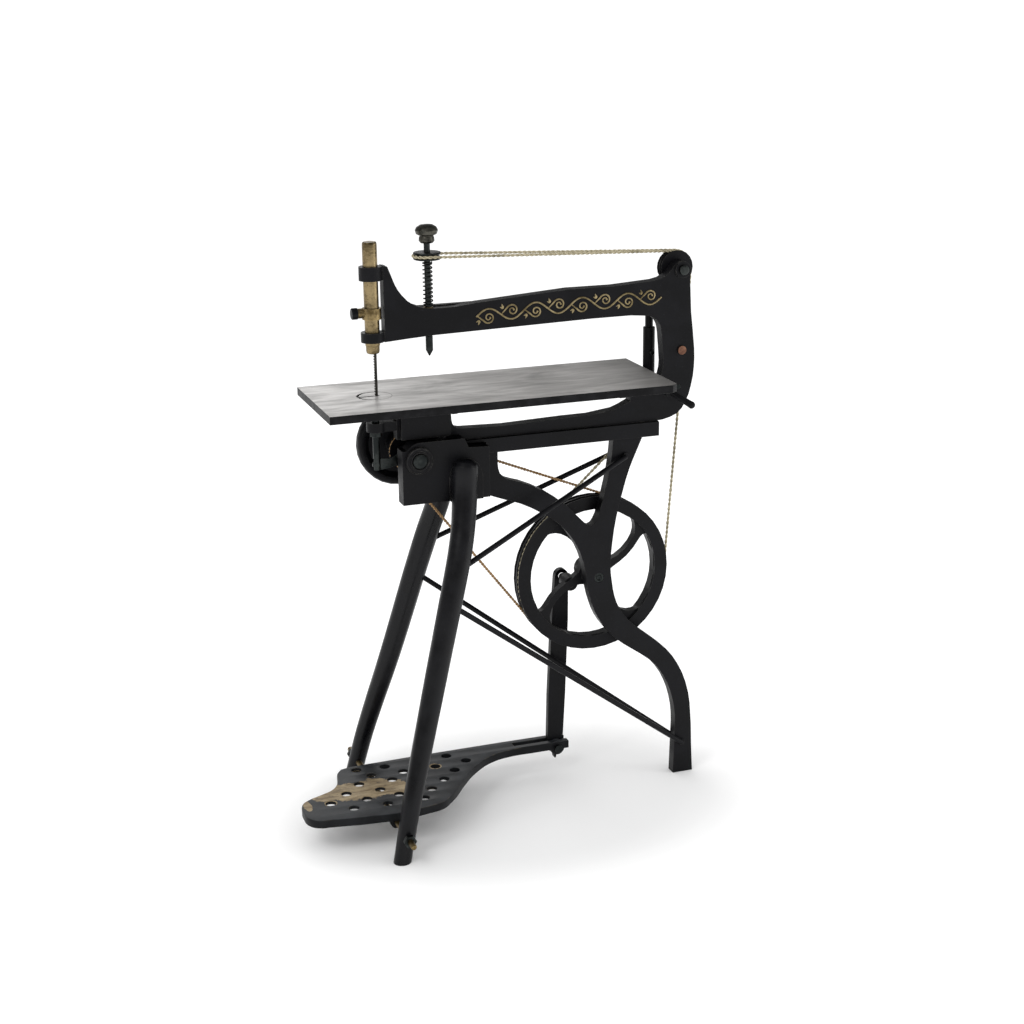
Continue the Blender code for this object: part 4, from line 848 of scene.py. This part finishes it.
# Centre line as x from the table's front edge, distance from the machine's middle plane, z
# and radius, in millimetres; the domed top has z from the top of the leg
LEG_KNOTS = [
    (275, 66, 702, 24.5), (272, 71, 676, 24.5), (263, 86, 625, 23.5), (248, 103, 569, 23.2),
    (222, 119, 478, 22.7), (174, 144, 306, 21.2), (120, 178, 119, 18.5), (87, 197, -20, 17),
]
LEG_DOME = [(279, 62, -0.2, 6), (279, 62, -2.5, 14.5), (278.5, 62.5, -6, 20),
            (278, 63, -11, 23.2), (277, 64, -20, 24.5)]
LEG_SIDES = 44
LEG_STEPS = 7
LOWEST_RING = 7.0


def through(knots, steps):
    """Points on a Catmull-Rom curve through the knots."""
    knots = [np.array(knot, float) for knot in knots]
    padded = [knots[0]] + knots + [knots[-1]]
    points = []
    for before, first, second, after in zip(padded, padded[1:], padded[2:], padded[3:]):
        for k in range(steps):
            t = k / steps
            points.append(0.5 * (2 * first + (second - before) * t
                                 + (2 * before - 5 * first + 4 * second - after) * t * t
                                 + (3 * first - 3 * second + after - before) * t ** 3))
    points.append(knots[-1])
    return points


def front_leg(name, replaced, side):
    """Bowed round leg with a domed top; its sole is flat on the floor."""
    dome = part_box(replaced)[1].z / MM
    knots = [(x, y, dome + rise, radius) for x, y, rise, radius in LEG_DOME] + LEG_KNOTS
    path = [row for row in through(knots, LEG_STEPS) if row[2] > LOWEST_RING]
    points = [(from_front(x), side * y * MM, z * MM) for x, y, z, _ in path]
    vertices, faces = sweep(points, [radius * MM for *_, radius in path], LEG_SIDES)
    run = np.array(points[-1]) - np.array(points[-2])
    for k in range(len(vertices) - LEG_SIDES, len(vertices)):
        vertices[k] -= run * (vertices[k][2] / run[2])
    leg = new_piece(name, vertices, faces, LEG_PAINT, "black_paint")
    leg.data.set_sharp_from_angle(angle=math.radians(50))
    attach(leg, "frame")
    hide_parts(replaced)


front_leg("bowed_leg_near", "front_leg_near", -1)
front_leg("bowed_leg_far", "front_leg_far", 1)


# ---------------------------------------------------------------- ornament on the arm

def leaf(start, direction, length, vertices, faces):
    """A small pointed bud lying on the arm's face."""
    steps, sides = 7, 8
    direction = Vector(direction).normalized()
    path = [Vector(start) + direction * length * k / steps for k in range(steps + 1)]
    radii = [length * 0.23 * math.sin(math.pi * (k / steps) ** 0.7) + 0.12 * MM
             for k in range(steps + 1)]
    made, joined = sweep(path, radii, sides, start=len(vertices))
    flat = [(v[0], ARM_FACE - 0.1 * MM + (v[1] - path[0].y) * 0.55, v[2]) for v in made]
    vertices.extend(flat)
    faces.extend(joined)


ARM_MIDDLE_X = (326, 420, 511, 607, 706)
ARM_MIDDLE_Z = (1018.5, 1024.5, 1027.5, 1029.0, 1030.0)
SCROLL_START, HALF_WAVE, CURLS = 322.0, 48.0, 8
STEM_STEPS, CURL_STEPS = 14, 34
STEM_SWING, STEM_RADIUS = 13.0, 1.9


def arm_middle(x):
    """Height of the middle of the arm's face, x and result in millimetres."""
    return float(np.interp(x, ARM_MIDDLE_X, ARM_MIDDLE_Z))


def curl_line(curl):
    """Path and radii of one curl, from the stem inwards."""
    side = 1 if curl % 2 == 0 else -1
    x = SCROLL_START + HALF_WAVE * (curl + 0.5)
    z = arm_middle(x) - side * 4.0
    points = [(SCROLL_START + HALF_WAVE * curl + 2, arm_middle(x - HALF_WAVE / 2) + side * 1.5)]
    radii = [1.2]
    for k in range(CURL_STEPS + 1):
        share = k / CURL_STEPS
        angle = math.radians(205 + 500 * share)
        radius = 12.0 - 9.0 * share ** 0.85
        points.append((x + 1 + radius * math.cos(angle), z + side * radius * math.sin(angle)))
        radii.append(1.85 - 0.5 * share)
    return points, radii


def curl_ball(end_x, end_z):
    """Path and radii of the small ball at a curl's inner end."""
    steps = 8
    points = [(end_x - 2.2 + 4.4 * k / steps, end_z) for k in range(steps + 1)]
    radii = [0.2 + 2.1 * math.sqrt(max(0.0, 1 - (2 * k / steps - 1) ** 2))
             for k in range(steps + 1)]
    return points, radii


def arm_ornament():
    """Running scroll of eight curls on a waved stem, cast proud of the near face."""
    depth = ARM_FACE - 0.25 * MM
    vertices, faces = [], []

    def add(points, radii):
        path = [(from_front(x), depth, z * MM) for x, z in points]
        made, joined = sweep(path, [r * MM for r in radii], 8, start=len(vertices))
        vertices.extend(made)
        faces.extend(joined)

    stem = []
    count = CURLS * STEM_STEPS
    for k in range(count + 1):
        x = SCROLL_START + HALF_WAVE * CURLS * k / count
        stem.append((x, arm_middle(x) + STEM_SWING * math.sin(math.pi * CURLS * k / count)))
    add(stem, [STEM_RADIUS] * len(stem))
    for curl in range(CURLS):
        points, radii = curl_line(curl)
        add(points, radii)
        add(*curl_ball(*points[-1]))
        side = 1 if curl % 2 == 0 else -1
        x = SCROLL_START + HALF_WAVE * (curl + 0.5)
        bud = (from_front(x - 17), depth, (arm_middle(x) - side * 8.0) * MM)
        for lean, length in ((math.radians(70), 10 * MM), (math.radians(25), 8 * MM)):
            leaf(bud, (-math.cos(lean), 0.0, -side * math.sin(lean)), length, vertices, faces)
    piece = new_piece("arm_scroll_ornament", vertices, faces, GILT, "brass")
    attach(piece, "frame")


arm_ornament()


# ---------------------------------------------------------------- floor, light, camera

FLOOR_REACH = 40.0
# The floor glows from this middle outwards, so that it fades to white as in a studio; the unlit
# middle is a painted soft shadow under the machine
GLOW_MIDDLE, GLOW_RADII, GLOW = (0.04, -0.02, 0.0), (0.64, 0.48, 1.0), 0.32
# World strength as seen by diffuse, camera and glossy rays
WORLD, WORLD_SEEN, WORLD_MIRRORED = 0.88, 1.2, 0.30


def stage_floor():
    """Wide pale floor that belongs to the picture, not to the part; it glows away from the
    machine, leaving a painted soft shadow under it.
    """
    mesh = bpy.data.meshes.new("floor")
    corners = [(x * FLOOR_REACH, y * FLOOR_REACH, 0)
               for x, y in ((-1, -1), (1, -1), (1, 1), (-1, 1))]
    mesh.from_pydata(corners, [], [(0, 1, 2, 3)])
    look = Look("pale_floor")
    colour = look.mix(look.noise(1.5, 2.0), (0.91, 0.91, 0.91), (0.93, 0.93, 0.93))
    away = look.vector("DIVIDE", look.vector("SUBTRACT", look.place, GLOW_MIDDLE), GLOW_RADII)
    # Painted light: emission outside the ellipse, leaving a painted shadow inside it
    look.shader.inputs["Emission Color"].default_value = (1.0, 1.0, 1.0, 1.0)
    look.put(look.shader.inputs["Emission Strength"],
             look.step(look.vector("LENGTH", away), 0.5, 1.05, 0.0, GLOW))
    look.done(colour, 0.9, 0.0, 0.1)
    mesh.materials.append(look.material)
    placed("floor", mesh)


def softbox(name, place, target, size, power):
    """An area light aimed at a target."""
    light = bpy.data.lights.new(name, "AREA")
    light.shape = "RECTANGLE"
    light.size, light.size_y = size
    light.energy = power
    lamp = bpy.data.objects.new(name, light)
    lamp.location = place
    aim = Vector(target) - Vector(place)
    lamp.rotation_euler = aim.to_track_quat("-Z", "Y").to_euler()
    lamp.visible_camera = False
    bpy.context.scene.collection.objects.link(lamp)


def studio():
    """Even white world, dimmer in reflections, and three soft lights."""
    world = bpy.data.worlds.new("studio")
    world.use_nodes = True
    bpy.context.scene.world = world
    nodes, links = world.node_tree.nodes, world.node_tree.links
    path = nodes.new("ShaderNodeLightPath")
    base = nodes.new("ShaderNodeValue")
    base.outputs[0].default_value = WORLD
    strength = base.outputs[0]
    for ray, value in (("Is Camera Ray", WORLD_SEEN), ("Is Glossy Ray", WORLD_MIRRORED)):
        mix = nodes.new("ShaderNodeMix")
        links.new(path.outputs[ray], mix.inputs[0])
        links.new(strength, mix.inputs[2])
        mix.inputs[3].default_value = value
        strength = mix.outputs[0]
    shade = nodes["Background"]
    links.new(strength, shade.inputs["Strength"])
    shade.inputs["Color"].default_value = (1.0, 1.0, 1.0, 1.0)
    softbox("key_light", (-2.4, -1.8, 3.2), (0, 0, 0.6), (1.6, 1.2), 30)
    softbox("side_light", (3.4, -1.6, 1.6), (0, 0, 0.6), (0.9, 2.4), 22)
    softbox("back_light", (0.0, 3.9, 1.95), (-0.1, 0, 0.88), (1.9, 1.5), 14)


# The photo's viewing angle in radians, the camera's place in metres and its lens
YAW, PITCH, ROLL = 0.3337886, 0.2940095, -0.0135228
CAMERA_PLACE = (-1.10238, -3.27537, 1.66882)
LENS, SENSOR = 64.107, 36.0


def photo_camera():
    """Camera at the picture's viewing angle."""
    ahead = Vector((math.sin(YAW) * math.cos(PITCH), math.cos(YAW) * math.cos(PITCH),
                    -math.sin(PITCH)))
    right = Vector((math.cos(YAW), -math.sin(YAW), 0.0))
    up = right.cross(ahead)
    across = right * math.cos(ROLL) + up * math.sin(ROLL)
    upright = up * math.cos(ROLL) - right * math.sin(ROLL)
    camera = bpy.data.cameras.new("camera")
    camera.sensor_width = SENSOR
    camera.lens = LENS
    holder = bpy.data.objects.new("camera", camera)
    bpy.context.scene.collection.objects.link(holder)
    rows = [(across[axis], upright[axis], -ahead[axis], CAMERA_PLACE[axis])
            for axis in range(3)]
    holder.matrix_world = Matrix((*rows, (0.0, 0.0, 0.0, 1.0)))
    bpy.context.scene.camera = holder


stage_floor()
studio()
photo_camera()
bpy.context.scene.view_settings.view_transform = "Standard"
